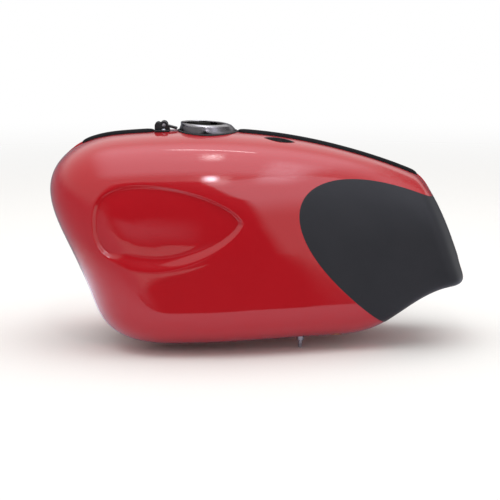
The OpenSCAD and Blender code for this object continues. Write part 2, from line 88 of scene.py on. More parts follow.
# CLEAR is left between the shells and what they hold or carry, and TOOL_REACH is past the tank's
# ends. Sizes end in W, H, R, T and LEN for width, height, radius, thickness and length.
CLEAR, TOOL_REACH = 0.05, 400.0
TUNNEL_W, TUNNEL_H, TUNNEL_R, TUNNEL_TILT = 108.0, 118.0, 24.0, 1.13
FILLER_X, COLLAR_BACK = 77.5, 6.3
FOOT_R, RIM_H, BORE_R, NECK_WALL = 41.5, 11.4, 30.0, 1.4
HINGE_X, HINGE_H, PIN_R = 134.5, 9.0, 2.5
POCKET_AT, POCKET_LEN, POCKET_W, POCKET_DEPTH = (-33.0, 34.0), 46.0, 22.5, 9.0
OUTLET_AT, VENT_AT = (-112.0, 70.0), (-63.0, 72.0)
COLLAR_HOLE_R, OUTLET_HOLE_R, VENT_HOLE_R = FOOT_R + 0.1, 12.05, 5.6
STRIP_RUNS = {"front": (148.4, 254.0), "rear": (-235.0, 27.1)}
SEAM_RUNS = ((150.0, 278.0), (-258.0, 25.6))


def bspline(curve, at):
    """Uniform cubic B-spline through evenly spaced control heights, at the places given."""
    start, step, heights = curve
    v = np.asarray(heights, float)
    s = (np.asarray(at, float) - start) / step
    i = np.clip(np.floor(s).astype(int), 1, len(v) - 3)
    t = s - i
    return ((1 - t) ** 3 * v[i - 1] + (3 * t**3 - 6 * t**2 + 4) * v[i]
            + (3 * (t + t**2 - t**3) + 1) * v[i + 1] + t**3 * v[i + 2]) / 6


def ease(t):
    """3t² - 2t³, held at 0 and 1 outside the step."""
    u = np.clip(t, 0, 1)
    return u * u * (3 - 2 * u)


def soft_ease(t):
    """6t⁵ - 15t⁴ + 10t³, held at 0 and 1 outside the step."""
    u = np.clip(t, 0, 1)
    return u**3 * (u * (6 * u - 15) + 10)


def crest_z(x):
    """Height of the crest line: the guide curve CREST."""
    return bspline(CREST, x)


def waist_z(x):
    """Height of the widest line: belly + part * (crest - belly)."""
    belly = bspline(BELLY, x)
    return belly + WAIST_PART * (crest_z(x) - belly)


def half_width(x):
    """Half the tank's width at its waist: from the tail's to the full one by a soft step."""
    return TAIL_W + (HALF_W - TAIL_W) * soft_ease((x - TAPER_FROM) / TAPER_LEN)


def fullness(x, z):
    """1 deep inside the side outline and 0 on it: 1 - rise^p - front^3 - rear^2.6."""
    crest, belly, waist = crest_z(x), bspline(BELLY, x), waist_z(x)
    up = z > waist
    rise = np.abs(np.where(up, (z - waist) / (crest - waist), (waist - z) / (waist - belly)))
    front = np.maximum(0, 1 - (bspline(NOSE, z) - x) / NOSE_ROUND)
    rear = np.maximum(0, 1 - (x - bspline(TAIL, z)) / TAIL_ROUND)
    return (1 - rise ** np.where(up, SHOULDER_POWER, BELLY_POWER)
            - front**NOSE_POWER - rear**TAIL_POWER)


def section_power(x, z):
    """Power of the section across: 2 up to the waist, and more towards the flat top."""
    waist = waist_z(x)
    return 2 + TOP_FLAT * ease((z - waist) / (crest_z(x) - waist) / TOP_FLAT_PART)


def flank_y(x, z):
    """Distance of the smooth flank from the centre plane: width * fullness^(1 / section power)."""
    return half_width(x) * np.maximum(0, fullness(x, z)) ** (1 / section_power(x, z))


def bisect(inside, low, high, steps=44):
    """Where inside() turns false between low and high, for whole arrays at once."""
    low, high = np.array(low, float), np.array(high, float)
    for _ in range(steps):
        mid = (low + high) / 2
        held = inside(mid)
        low, high = np.where(held, mid, low), np.where(held, high, mid)
    return low


def top_at(x, y):
    """Height of the smooth top at places seen from above: fullness = (y / width)^section power."""
    x, y = np.broadcast_arrays(np.asarray(x, float), np.asarray(y, float))
    part = np.abs(y) / half_width(x)
    return bisect(lambda z: fullness(x, z) > part ** section_power(x, z),
                  np.full(x.shape, 140.0), np.full(x.shape, 330.0))


def form_normal(p, h=0.2):
    """Unit gradient of (y / width)^section power - fullness, by central differences."""
    def value(q):
        """Negative inside the smooth form, 0 on it and positive outside."""
        x, y, z = q[..., 0], np.abs(q[..., 1]), q[..., 2]
        return (y / half_width(x)) ** section_power(x, z) - fullness(x, z)
    g = np.stack([value(p + a) - value(p - a) for a in np.eye(3) * h], -1)
    return g / np.linalg.norm(g, axis=-1, keepdims=True)


# ---- Turning numpy surfaces into pieces ----

def skin(grid, close_u=False, close_v=False, pole_first=None, pole_last=None):
    """Vertices and faces of a grid of points (u, v), closed along u or v, or by a pole past v's ends."""
    nu, nv = grid.shape[:2]
    index = np.arange(nu * nv).reshape(nu, nv)
    u = np.concatenate([index, index[:1]]) if close_u else index
    w = np.concatenate([u, u[:, :1]], 1) if close_v else u
    quads = np.stack([w[:-1, :-1], w[1:, :-1], w[1:, 1:], w[:-1, 1:]], -1).reshape(-1, 4)
    points, faces = [grid.reshape(-1, 3)], quads.tolist()
    for pole, ring, turn in ((pole_first, u[:, 0], 1), (pole_last, u[:, -1], -1)):
        if pole is not None:
            top = np.full(len(ring) - 1, sum(len(p) for p in points))
            points.append(np.asarray(pole, float).reshape(1, 3))
            faces += np.stack([ring[1:], ring[:-1], top][::turn], -1).tolist()
    return np.concatenate(points), faces


def outward(shell):
    """The same closed shell with its faces pointing out: its signed volume is made positive."""
    points, faces = shell
    fan = np.array([(f[0], f[i], f[i + 1]) for f in faces for i in range(1, len(f) - 1)])
    a, b, c = points[fan].transpose(1, 0, 2)
    if np.einsum("ij,ij->i", a, np.cross(b, c)).sum() < 0:
        faces = [f[::-1] for f in faces]
    return points, faces


def new_object(name, data):
    """A new object of that data in the scene, at the origin."""
    obj = bpy.data.objects.new(name, data)
    bpy.context.scene.collection.objects.link(obj)
    return obj


def add_mesh(name, shells):
    """A mesh object of closed shells given in millimetres, at the origin, its place in its mesh."""
    points, faces, count = [], [], 0
    for p, f in shells:
        points.append(p)
        faces += [[i + count for i in face] for face in f]
        count += len(p)
    mesh = bpy.data.meshes.new(name)
    mesh.from_pydata((np.concatenate(points) + SHIFT) * MM, [], faces)
    mesh.validate()
    return new_object(name, mesh)


def finish_piece(obj, finishes, body, node, sharp=35.0):
    """Smooth faces with sharp edges kept, materials, and the piece's place in the frame."""
    if not obj.data.polygons:
        raise RuntimeError(obj.name + " came out empty")
    obj.data.materials.clear()
    for finish in finishes:
        obj.data.materials.append(finish_named(finish))
    obj.data.shade_smooth()
    obj.data.set_sharp_from_angle(angle=math.radians(sharp))
    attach(obj, body)
    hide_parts(node)


def revolve(rows, centre, steps=160):
    """A closed loop of (radius, height) or (shift, radius, height) rows, each carried round a
    vertical axis as a circle whose middle stands off the centre by its shift."""
    rows = np.asarray(rows, float)
    shift = rows[:, 0] if rows.shape[1] == 3 else 0 * rows[:, 0]
    r, z = rows[:, -2], rows[:, -1]
    t = np.linspace(0, 2 * math.pi, steps, endpoint=False)
    grid = np.stack([centre[0] + shift + np.outer(np.cos(t), r), centre[1] + np.outer(np.sin(t), r),
                     centre[2] + np.outer(np.ones(steps), z)], -1)
    return outward(skin(grid, close_u=True, close_v=True))


def soften(rows, times=2):
    """Rounds a closed loop: each corner gives way to points a quarter along the lines beside it."""
    rows = np.asarray(rows, float)
    for _ in range(times):
        after = np.roll(rows, -1, 0)
        quarters = np.stack([0.75 * rows + 0.25 * after, 0.25 * rows + 0.75 * after], 1)
        rows = quarters.reshape(-1, rows.shape[1])
    return rows


def arc(cx, cy, r, start, stop, steps):
    """Points of an arc: centre + r * (cos, sin) of angles in degrees."""
    a = np.radians(np.linspace(start, stop, steps))
    return np.stack([cx + r * np.cos(a), cy + r * np.sin(a)], -1)


def circle(r, steps):
    """Points of a closed circle round the origin, the first not repeated."""
    return arc(0, 0, r, 0, 360, steps + 1)[:-1]


def turned_by(points, degrees):
    """Turns points (u, v) about the origin: (u cos - v sin, u sin + v cos)."""
    a = math.radians(degrees)
    return points @ np.array(((math.cos(a), math.sin(a)), (-math.sin(a), math.cos(a))))


def prism(near, far):
    """A closed shell between two rings of as many points: the wall between them, and both ends."""
    n = len(near)
    low, high = np.arange(n), np.arange(n, 2 * n)
    wall = np.stack([low, np.roll(low, -1), np.roll(high, -1), high], -1).tolist()
    return outward((np.concatenate([near, far]), wall + [low[::-1].tolist(), high.tolist()]))


def plate(outline, low, high):
    """A flat outline (u, v) carried from low to high, as a closed shell of (u, v, w) points."""
    flat = np.asarray(outline, float)
    return prism(*(np.column_stack([flat, np.full(len(flat), w)]) for w in (low, high)))


def across(shell, centre):
    """Stands a shell drawn as (u, v, w) up in the tank: u forward, v up and w to the left."""
    points, faces = shell
    return outward((points[:, (0, 2, 1)] + np.asarray(centre, float), faces))


def bevel(obj, width, segments=3):
    """Rounds every sharp edge by a real radius, in millimetres."""
    rounding = obj.modifiers.new("Rounded edges", "BEVEL")
    rounding.width = width * MM
    rounding.segments = segments
    rounding.limit_method = "ANGLE"
    rounding.angle_limit = math.radians(30)
    return apply_modifiers(obj)


def apply_modifiers(obj):
    """The object's mesh as its modifiers leave it."""
    deps = bpy.context.evaluated_depsgraph_get()
    mesh = bpy.data.meshes.new_from_object(obj.evaluated_get(deps))
    obj.modifiers.clear()
    old, obj.data = obj.data, mesh
    bpy.data.meshes.remove(old)
    return obj


# ---- Colours and materials ----

# The knee panel's ellipse seen from the side: middle, half lengths and tilt.
PANEL_AT, PANEL_HALF, PANEL_RISE = (-289.6, 86.3), (261.3, 99.6), 31.0
# The materials that are already made, by the names of their finishes.
FINISHES = {}


def linear(hex_colour):
    """sRGB hex to linear red, green and blue, with alpha 1."""
    c = np.array([int(hex_colour[i:i + 2], 16) / 255 for i in (1, 3, 5)])
    low, high = c / 12.92, ((c + 0.055) / 1.055) ** 2.4
    return (*np.where(c <= 0.04045, low, high).tolist(), 1.0)


def opaque(colour):
    """A colour from the settings with alpha 1."""
    return (*colour, 1.0)


def scale_of(size):
    """The scale of a pattern whose marks are that many millimetres across."""
    return 1 / (size * MM)


def put(tree, kind, sets=None, values=None, links=None):
    """Adds a node to a tree with its settings, its sockets' values and its links."""
    node = tree.nodes.new(kind)
    for key, value in (sets or {}).items():
        setattr(node, key, value)
    for key, value in (values or {}).items():
        node.inputs[key].default_value = value
    for key, source in (links or {}).items():
        tree.links.new(source, node.inputs[key])
    return node


def empty_material(name):
    """An empty material and its tree."""
    material = bpy.data.materials.new(name)
    material.use_nodes = True
    material.node_tree.nodes.clear()
    return material, material.node_tree


def new_material(name):
    """An empty material, its tree and the object's own coordinates."""
    material, tree = empty_material(name)
    return material, tree, put(tree, "ShaderNodeTexCoord").outputs["Object"]


def finish_surface(tree, mottle, shades, rough, relief=None, sockets=None):
    """Ends a plain finish. The mottle, from 0 to 1, shares out two shades and two roughnesses, or
    the roughness is one number; relief is a height, its strength and its depth in metres."""
    values = dict(sockets or {})
    links = {"Base Color": put(tree, "ShaderNodeMix", {"data_type": "RGBA"},
                               {6: shades[0], 7: shades[1]}, {0: mottle}).outputs[2]}
    if isinstance(rough, tuple):
        links["Roughness"] = put(tree, "ShaderNodeMapRange", values={"To Min": rough[0], "To Max": rough[1]},
                                 links={"Value": mottle}).outputs[0]
    else:
        values["Roughness"] = rough
    if relief:
        height, strength, depth = relief
        links["Normal"] = put(tree, "ShaderNodeBump", values={"Strength": strength, "Distance": depth},
                              links={"Height": height}).outputs[0]
    shader = put(tree, "ShaderNodeBsdfPrincipled", values=values, links=links)
    put(tree, "ShaderNodeOutputMaterial", links={"Surface": shader.outputs[0]})


def sprayed_panels(tree, place, colours, red, rough, peel):
    """Satin black sprayed over the enamel inside the knee panels' masked edge, an ellipse seen
    from the side: the paint, its roughness, its height and where the gloss is left."""
    # The ellipse is read in its own units, so its edge lies at 1.
    turned = put(tree, "ShaderNodeMapping", {"vector_type": "TEXTURE"},
                 {"Location": ((PANEL_AT[0] + SHIFT[0]) * MM, 0.0, (PANEL_AT[1] + SHIFT[2]) * MM),
                  "Rotation": (0.0, -math.radians(PANEL_RISE), 0.0),
                  "Scale": (PANEL_HALF[0] * MM, 1e6, PANEL_HALF[1] * MM)}, {"Vector": place}).outputs[0]
    reach = put(tree, "ShaderNodeVectorMath", {"operation": "LENGTH"}, links={0: turned}).outputs["Value"]
    mask = put(tree, "ShaderNodeMapRange", {"interpolation_type": "SMOOTHSTEP"},
               {"From Min": 1.0015, "From Max": 0.9985}, {"Value": reach}).outputs[0]
    # Dry spray of 0.9 mm, in clouds of 70 mm.
    grain = put(tree, "ShaderNodeTexNoise", values={"Scale": scale_of(0.9), "Detail": 2.0},
                links={"Vector": place}).outputs["Fac"]
    cloud = put(tree, "ShaderNodeTexNoise", values={"Scale": scale_of(70), "Detail": 3.0},
                links={"Vector": place}).outputs["Fac"]
    black = put(tree, "ShaderNodeMix", {"data_type": "RGBA"},
                {6: opaque(colours.panel), 7: opaque(colours.panel_pale)}, {0: cloud}).outputs[2]
    paint = put(tree, "ShaderNodeMix", {"data_type": "RGBA"}, links={0: mask, 6: red, 7: black}).outputs[2]
    dull = put(tree, "ShaderNodeMapRange", values={"To Min": 0.40, "To Max": 0.52},
               links={"Value": cloud}).outputs[0]
    rough = put(tree, "ShaderNodeMix", links={0: mask, 2: rough, 3: dull}).outputs[0]
    gloss = put(tree, "ShaderNodeMath", {"operation": "SUBTRACT"}, {0: 1.0}, {1: mask}).outputs[0]
    texture = put(tree, "ShaderNodeMix", links={0: mask, 2: peel, 3: grain}).outputs[0]
    # The panel's coat stands five times as high as the texture on it.
    height = put(tree, "ShaderNodeMath", {"operation": "MULTIPLY_ADD"}, {1: 5.0},
                 {0: mask, 2: texture}).outputs[0]
    return paint, rough, height, gloss


def stoved_enamel(colours, with_panels):
    """Stoved red enamel, sprayed over primer on pressed steel and polished: a deep clear gloss
    with a faint orange peel. The knee panels are masked and sprayed satin black over it, which
    gives a soft broad sheen, a fine dry-spray grain and a hairline step at the masked edge."""
    name = "Stoved enamel with sprayed panels" if with_panels else "Stoved enamel"
    material, tree, place = new_material(name)
    # Pigment drifts a little over a hand's breadth.
    drift = put(tree, "ShaderNodeTexNoise", values={"Scale": scale_of(90), "Detail": 3.0},
                links={"Vector": place}).outputs["Fac"]
    paint = put(tree, "ShaderNodeMix", {"data_type": "RGBA"},
                {6: opaque(colours.enamel_deep), 7: opaque(colours.enamel)}, {0: drift}).outputs[2]
    # Orange peel of 3.5 mm.
    height = put(tree, "ShaderNodeTexNoise", values={"Scale": scale_of(3.5), "Detail": 1.0},
                 links={"Vector": place}).outputs["Fac"]
    # Polishing haze in patches of 40 mm.
    haze = put(tree, "ShaderNodeTexNoise", values={"Scale": scale_of(40), "Detail": 4.0, "Roughness": 0.6},
               links={"Vector": place}).outputs["Fac"]
    rough = put(tree, "ShaderNodeMapRange", values={"To Min": 0.30, "To Max": 0.38},
                links={"Value": haze}).outputs[0]
    specular, coat = 0.06, {}
    if with_panels:
        paint, rough, height, gloss = sprayed_panels(tree, place, colours, paint, rough, height)
        specular, coat = 0.1, {"Coat Weight": gloss}
    # A height of 1 stands for 6 micrometres.
    bump = put(tree, "ShaderNodeBump", values={"Strength": 1.0, "Distance": 0.000006},
               links={"Height": height}).outputs[0]
    shader = put(tree, "ShaderNodeBsdfPrincipled",
                 values={"IOR": 1.5, "Specular IOR Level": specular, "Coat Weight": 1.0,
                         "Coat Roughness": 0.035, "Coat IOR": 1.5},
                 links={"Base Color": paint, "Roughness": rough, "Normal": bump, "Coat Normal": bump, **coat})
    put(tree, "ShaderNodeOutputMaterial", links={"Surface": shader.outputs[0]})
    return material


# Middle, half length, half height and slope in degrees of the ellipse that bounds a knee panel.
PANEL_AT, PANEL_HALF, PANEL_RISE = (-289.6, 86.3), (261.3, 99.6), 31.0


def bare_sheet_steel():
    """Cold-rolled sheet steel inside the tank, oiled and stained by fuel: grey-brown blotches
    with a broken, half-dull shine."""
    material, tree, place = new_material("Fuel-stained sheet steel")
    # Stains of 25 mm.
    blotch = put(tree, "ShaderNodeTexNoise", values={"Scale": scale_of(25), "Detail": 6.0, "Roughness": 0.65},
                 links={"Vector": place}).outputs["Fac"]
    finish_surface(tree, blotch, (linear("#5C5650"), linear("#8B8680")), (0.42, 0.62),
                   sockets={"Metallic": 0.85})
    return material


def extruded_rubber(colours):
    """Extruded EPDM rubber: a dense dull black with fine die lines along its run, grey bloom in
    faint patches, and hardly any shine."""
    material, tree, place = new_material("Extruded EPDM rubber")
    # Die lines 0.5 mm apart across the moulding, drawn out along it.
    run = put(tree, "ShaderNodeMapping", values={"Scale": (8.0, 2000.0, 300.0)},
              links={"Vector": place}).outputs[0]
    lines = put(tree, "ShaderNodeTexNoise", values={"Scale": 1.0, "Detail": 2.0},
                links={"Vector": run}).outputs["Fac"]
    # Bloom in patches of 18 mm.
    bloom = put(tree, "ShaderNodeTexNoise", values={"Scale": scale_of(18), "Detail": 4.0},
                links={"Vector": place}).outputs["Fac"]
    finish_surface(tree, bloom, (opaque(colours.moulding), linear("#1C1C1F")), (0.42, 0.56),
                   (lines, 0.5, 0.00006), {"IOR": 1.5, "Specular IOR Level": 0.02})
    return material


def moulded_rubber():
    """Moulded nitrile rubber: matt black with a fine tooth."""
    material, tree, place = new_material("Moulded nitrile rubber")
    # The tooth of the mould is 0.4 mm.
    tooth = put(tree, "ShaderNodeTexNoise", values={"Scale": scale_of(0.4), "Detail": 3.0},
                links={"Vector": place}).outputs["Fac"]
    finish_surface(tree, tooth, (linear("#0E0E0F"), linear("#1E1E20")), 0.72,
                   (tooth, 0.6, 0.00005), {"IOR": 1.5})
    return material


def spun_plated_steel(colours):
    """Spun steel, nickel plated: turning rings round the axis give a tight circular sheen. The plate's colour
    is painted by height: dark on the wall as painted shade, and pale towards the lip as a painted highlight."""
    material, tree, place = new_material("Spun steel, dull nickel plate")
    centred = put(tree, "ShaderNodeMapping", values={"Location": (-(FILLER_X + SHIFT[0]) * MM, 0.0, 0.0)},
                  links={"Vector": place}).outputs[0]
    axes = put(tree, "ShaderNodeSeparateXYZ", links={"Vector": centred}).outputs
    # Distance from the filler's axis: the square root of x * x + y * y.
    squared = put(tree, "ShaderNodeMath", {"operation": "POWER"}, {1: 2.0}, {0: axes["X"]}).outputs[0]
    squared = put(tree, "ShaderNodeMath", {"operation": "MULTIPLY_ADD"},
                  links={0: axes["Y"], 1: axes["Y"], 2: squared}).outputs[0]
    reach = put(tree, "ShaderNodeMath", {"operation": "SQRT"}, links={0: squared}).outputs[0]
    ring = put(tree, "ShaderNodeCombineXYZ", links={"X": reach, "Y": axes["Z"]}).outputs[0]
    # Turning rings 0.6 mm apart, and rubbed patches of 12 mm.
    turning = put(tree, "ShaderNodeTexNoise", values={"Scale": scale_of(0.6), "Detail": 2.0},
                  links={"Vector": ring}).outputs["Fac"]
    rubbed = put(tree, "ShaderNodeTexNoise", values={"Scale": scale_of(12), "Detail": 5.0, "Roughness": 0.6},
                 links={"Vector": place}).outputs["Fac"]
    # Painted highlight: the plate is pale above 1.6 mm below the lip and partly pale down to 4.2 mm below it;
    # the wall lower down is left dark as painted shade.
    lip = (float(crest_z(FILLER_X)) + RIM_H + SHIFT[2]) * MM
    kept = put(tree, "ShaderNodeMapRange", {"interpolation_type": "SMOOTHSTEP"},
               {"From Min": lip - 4.2 * MM, "From Max": lip - 1.6 * MM}, {"Value": axes["Z"]}).outputs[0]
    # Paler by a quarter of the rubbed patches, which are wear, and fully pale where the painted highlight
    # near the lip is.
    pale = put(tree, "ShaderNodeMath", {"operation": "MULTIPLY_ADD", "use_clamp": True}, {1: 0.25},
               {0: rubbed, 2: kept}).outputs[0]
    colour = put(tree, "ShaderNodeMix", {"data_type": "RGBA"},
                 {6: opaque(colours.collar_painted_shade), 7: opaque(colours.collar)}, {0: pale}).outputs[2]
    rough = put(tree, "ShaderNodeMapRange",
                values={"From Min": 0.3, "From Max": 0.7, "To Min": 0.16, "To Max": 0.30},
                links={"Value": rubbed}).outputs[0]
    bump = put(tree, "ShaderNodeBump", values={"Strength": 0.5, "Distance": 0.00003},
               links={"Height": turning}).outputs[0]
    shader = put(tree, "ShaderNodeBsdfPrincipled", values={"Metallic": 1.0},
                 links={"Base Color": colour, "Roughness": rough, "Normal": bump})
    put(tree, "ShaderNodeOutputMaterial", links={"Surface": shader.outputs[0]})
    return material


def phosphated_steel():
    """Drawn steel tube, phosphated: near-black crystals with a dry, dark sheen."""
    material, tree, place = new_material("Phosphated drawn steel")
    # Crystals of 0.5 mm, drawn coarser than the real 0.05 mm so that they show.
    crystal = put(tree, "ShaderNodeTexVoronoi", values={"Scale": scale_of(0.5)},
                  links={"Vector": place}).outputs["Distance"]
    # Stains of 15 mm.
    stain = put(tree, "ShaderNodeTexNoise", values={"Scale": scale_of(15), "Detail": 5.0},
                links={"Vector": place}).outputs["Fac"]
    finish_surface(tree, stain, (linear("#1B1A19"), linear("#37332F")), 0.55,
                   (crystal, 0.4, 0.00004), {"Metallic": 0.6})
    return material


def coated_casting(colours):
    """Sand-cast iron under black powder coat: a pebbled skin with small bright lights on it."""
    material, tree, place = new_material("Powder-coated casting")
    # Sand grain of 0.9 mm and casting lumps of 4 mm, three times as high.
    sand = put(tree, "ShaderNodeTexNoise", values={"Scale": scale_of(0.9), "Detail": 3.0},
               links={"Vector": place}).outputs["Fac"]
    lumps = put(tree, "ShaderNodeTexNoise", values={"Scale": scale_of(4), "Detail": 1.0},
                links={"Vector": place}).outputs["Fac"]
    height = put(tree, "ShaderNodeMath", {"operation": "MULTIPLY_ADD"}, {1: 3.0},
                 {0: lumps, 2: sand}).outputs[0]
    finish_surface(tree, lumps, (opaque(colours.casting), linear("#2A2A2D")), 0.36,
                   (height, 0.8, 0.00016), {"IOR": 1.5})
    return material


def zinc_plated_steel():
    """Turned steel, clear zinc plated: cool grey with a faint spangle and tool lines."""
    material, tree, place = new_material("Zinc-plated turned steel")
    # Spangle of 1.6 mm, and tool lines 0.4 mm apart along the axis.
    spangle = put(tree, "ShaderNodeTexVoronoi", values={"Scale": scale_of(1.6)},
                  links={"Vector": place}).outputs["Color"]
    grey = put(tree, "ShaderNodeSeparateColor", links={"Color": spangle}).outputs[0]
    turned = put(tree, "ShaderNodeMapping", values={"Scale": (60.0, 60.0, 2500.0)},
                 links={"Vector": place}).outputs[0]
    tool = put(tree, "ShaderNodeTexNoise", values={"Scale": 1.0, "Detail": 1.0},
               links={"Vector": turned}).outputs["Fac"]
    finish_surface(tree, grey, (linear("#8E9095"), linear("#B9BBBF")), (0.26, 0.42),
                   (tool, 0.4, 0.00002), {"Metallic": 1.0})
    return material


def turned_brass():
    """Turned brass: warm yellow, browned where it was soldered, with tool rings."""
    material, tree, place = new_material("Turned brass")
    # Tarnish in patches of 8 mm, and tool rings 0.4 mm apart along the axis.
    tarnish = put(tree, "ShaderNodeTexNoise", values={"Scale": scale_of(8), "Detail": 5.0, "Roughness": 0.6},
                  links={"Vector": place}).outputs["Fac"]
    turned = put(tree, "ShaderNodeMapping", values={"Scale": (80.0, 80.0, 2500.0)},
                 links={"Vector": place}).outputs[0]
    tool = put(tree, "ShaderNodeTexNoise", values={"Scale": 1.0, "Detail": 1.0},
               links={"Vector": turned}).outputs["Fac"]
    finish_surface(tree, tarnish, (linear("#7C5A2B"), linear("#C9A45C")), (0.45, 0.24),
                   (tool, 0.4, 0.00002), {"Metallic": 1.0})
    return material


def finish_named(name):
    """The material of that finish, made once from the colours in the settings."""
    colours = bpy.context.scene.tank_colours
    makers = {
        "panels": lambda: stoved_enamel(colours, True),
        "enamel": lambda: stoved_enamel(colours, False),
        "inside": bare_sheet_steel,
        "moulding": lambda: extruded_rubber(colours),
        "rubber": moulded_rubber,
        "collar": lambda: spun_plated_steel(colours),
        "neck": phosphated_steel,
        "casting": lambda: coated_casting(colours),
        "zinc": zinc_plated_steel,
        "brass": turned_brass,
    }
    if name not in FINISHES:
        FINISHES[name] = makers[name]()
    return FINISHES[name]


# ---- Settings ----

def length(name, description, default):
    """A length among the settings, its default in millimetres."""
    return bpy.props.FloatProperty(name=name, description=description, default=default * MM,
                                   min=0.0, unit="LENGTH", subtype="DISTANCE")


def colour(name, description, hex_colour):
    """A colour among the settings, its default as sRGB hex."""
    return bpy.props.FloatVectorProperty(name=name, description=description, size=3, min=0.0, max=1.0,
                                         default=linear(hex_colour)[:3], subtype="COLOR")


class TankSizes(bpy.types.PropertyGroup):
    """Sizes that the pieces are built from"""
    sheet: length("Sheet", "Thickness of the pressed steel", 1.0)
    recess_depth: length("Recess depth", "Depth of the teardrop pressing", 8.0)
    lip_crisp: length("Crisp lip", "Width of the recess lip in front and above", 8.0)
    lip_soft: length("Soft lip", "Width of the recess lip below and towards the tip", 22.0)
    strip_w: length("Moulding width", "Width of the seam moulding", 24.0)
    strip_t: length("Moulding thickness", "Height of the moulding's crown", 4.3)
    seam_w: length("Seam width", "Width of the welded seam's ridge", 4.0)
    seam_h: length("Seam height", "Height of the welded seam's ridge", 2.2)


class TankColours(bpy.types.PropertyGroup):
    """Colours that the materials are made from"""
    enamel: colour("Enamel", "Red enamel", "#AE0818")
    enamel_deep: colour("Enamel, deep", "Red enamel where it lies thicker", "#A80715")
    panel: colour("Knee panel", "Satin black of the knee panels", "#292A2E")
    panel_pale: colour("Knee panel, pale", "Satin black where the spray lies dry", "#333338")
    moulding: colour("Moulding", "Rubber of the seam moulding", "#0C0C0E")
    # The collar's two colours paint light and shade: the pale one at the lip is a painted highlight, the dark
    # one on the wall is painted shade.
    collar: colour("Collar", "Plate of the filler collar at its lip", "#9C999B")
    collar_painted_shade: colour("Collar, dull", "Dulled plate of the filler collar's wall", "#4C484C")
    casting: colour("Casting", "Powder coat of the hinge bracket", "#131315")
    floor: colour("Floor", "Paper of the studio floor", "#EDEBE8")


# ---- Painted skins ----

def ray_directions(count):
    """Unit directions from the hub to evenly spaced points of the guide ellipse."""
    t = 2 * math.pi * np.arange(count) / count
    e = np.stack([GUIDE_A * np.cos(t), GUIDE_B * (1 + np.sin(t))], -1) - HUB
    return e / np.linalg.norm(e, axis=1, keepdims=True)


def edge_reach(d):
    """How far each ray runs from the hub to the side outline: the last place where fullness > 0."""
    return bisect(lambda r: fullness(HUB[0] + d[:, 0] * r, HUB[1] + d[:, 1] * r) > 0,
                  np.full(len(d), RAY_INSIDE), np.full(len(d), RAY_PAST_EDGE))


def flank_grid(d, reach):
    """Points (x, y, z) of the smooth flank along the rays, the first of each on the centre plane."""
    x, z = HUB[0] + d[:, :1] * reach, HUB[1] + d[:, 1:] * reach
    y = flank_y(x, z)
    y[:, 0] = 0
    return np.stack([x, y, z], -1)


def recess_gap(x, z):
    """Negative inside the teardrop: |z - axis| - swell * u^0.683 * (1 - u)^0.382, where u runs from
    0 at the tip to 1 in front, and the axis bows down by bow * u * (1 - u)."""
    u = (x - RECESS_TIP[0]) / RECESS_LEN
    s = np.clip(u, 0, 1)
    off_axis = np.abs(z - RECESS_TIP[1] + RECESS_BOW * s * (1 - s))
    gap = off_axis - RECESS_SWELL * s**0.683 * (1 - s) ** 0.382
    return np.where((u <= 0) | (u >= 1), 1.0, gap)


def half_skin(sizes, rays=432):
    """The left half shell: rays from the hub meet the side outline and the recess's lip, and the
    rings between are close together at both. y = width * fullness^(1 / section power) - recess
    depth, and the recess is shallower along its top; the inner wall lies one sheet further in along
    the form's normal, and a rim on the centre plane joins them."""
    d = ray_directions(rays)
    edge = edge_reach(d)
    lip = bisect(lambda r: recess_gap(HUB[0] + d[:, 0] * r, HUB[1] + d[:, 1] * r) < 0,
                 np.zeros(rays), np.full(rays, RAY_PAST_LIP))
    crisp, soft = sizes.lip_crisp / MM, sizes.lip_soft / MM
    # The lip is crisp above and in front, and the recess is shallowest above the hub.
    lip_width = crisp + (soft - crisp) * ease(-0.35 - 1.6 * (d @ LIP_FACING))
    floor = lip - np.minimum(lip_width, LIP_PART * lip)
    full_depth = sizes.recess_depth / MM
    hub_depth = full_depth * (1 - RECESS_EASED / 2)
    lip_depth = full_depth * (1 - RECESS_EASED * ease(0.5 + 0.65 * d[:, 1]))

    def rings(outer, across_lip, inner):
        """Points and recess depths of the rings outside, across and inside the lip."""
        t = np.concatenate([[0, 0.3 / outer], np.arange(1, outer) / outer])
        s = np.arange(across_lip + 1) / across_lip
        f = 1 - np.arange(1, inner) / inner
        reach = np.concatenate([edge[:, None] - np.outer(edge - lip, t**RING_CROWD),
                                lip[:, None] - np.outer(lip - floor, s), np.outer(floor, f)], 1)
        depth = np.concatenate([np.outer(lip_depth, 0 * t), np.outer(lip_depth, ease(s)),
                                hub_depth + np.outer(lip_depth - hub_depth, f)], 1)
        return flank_grid(d, reach), depth[:, :, None] * (0, 1, 0)

    outer, depth = rings(46, 14, 9)
    inner, inner_depth = rings(16, 4, 3)
    normal = form_normal(inner)
    flat = normal[:, 0] * (1, 0, 1)
    normal[:, 0] = flat / np.linalg.norm(flat, axis=1, keepdims=True)
    sheet = sizes.sheet / MM
    inner = inner - inner_depth - sheet * normal
    middle = np.array((HUB[0], flank_y(*HUB) - hub_depth, HUB[1]))
    # One closed grid: from the inner hub out to the rim, and back in over the outer face.
    grid = np.concatenate([inner[:, ::-1], outer - depth], 1)
    return outward(skin(grid, close_u=True, pole_first=middle - (0, sheet, 0), pole_last=middle))


def arch_line(grow):
    """The tunnel's arch across: up one wall, over the roof and down the other wall."""
    half, r = TUNNEL_W / 2 + grow, TUNNEL_R + grow
    return np.concatenate([[(half, -TOOL_REACH)], arc(half - r, grow - r, r, 0, 90, 33),
                           arc(r - half, grow - r, r, 90, 180, 33), [(-half, -TOOL_REACH)]])


def along_tunnel(outline):
    """An outline across the tunnel as a long closed prism, laid along the tunnel's tilt."""
    points, faces = plate(outline, -TOOL_REACH, TOOL_REACH)
    side, up, along = points.T
    a = math.radians(TUNNEL_TILT)
    up = up + TUNNEL_H + GUIDE_A * math.sin(a)
    return outward((np.stack([along * math.cos(a) + up * math.sin(a), side,
                              up * math.cos(a) - along * math.sin(a)], -1), faces))


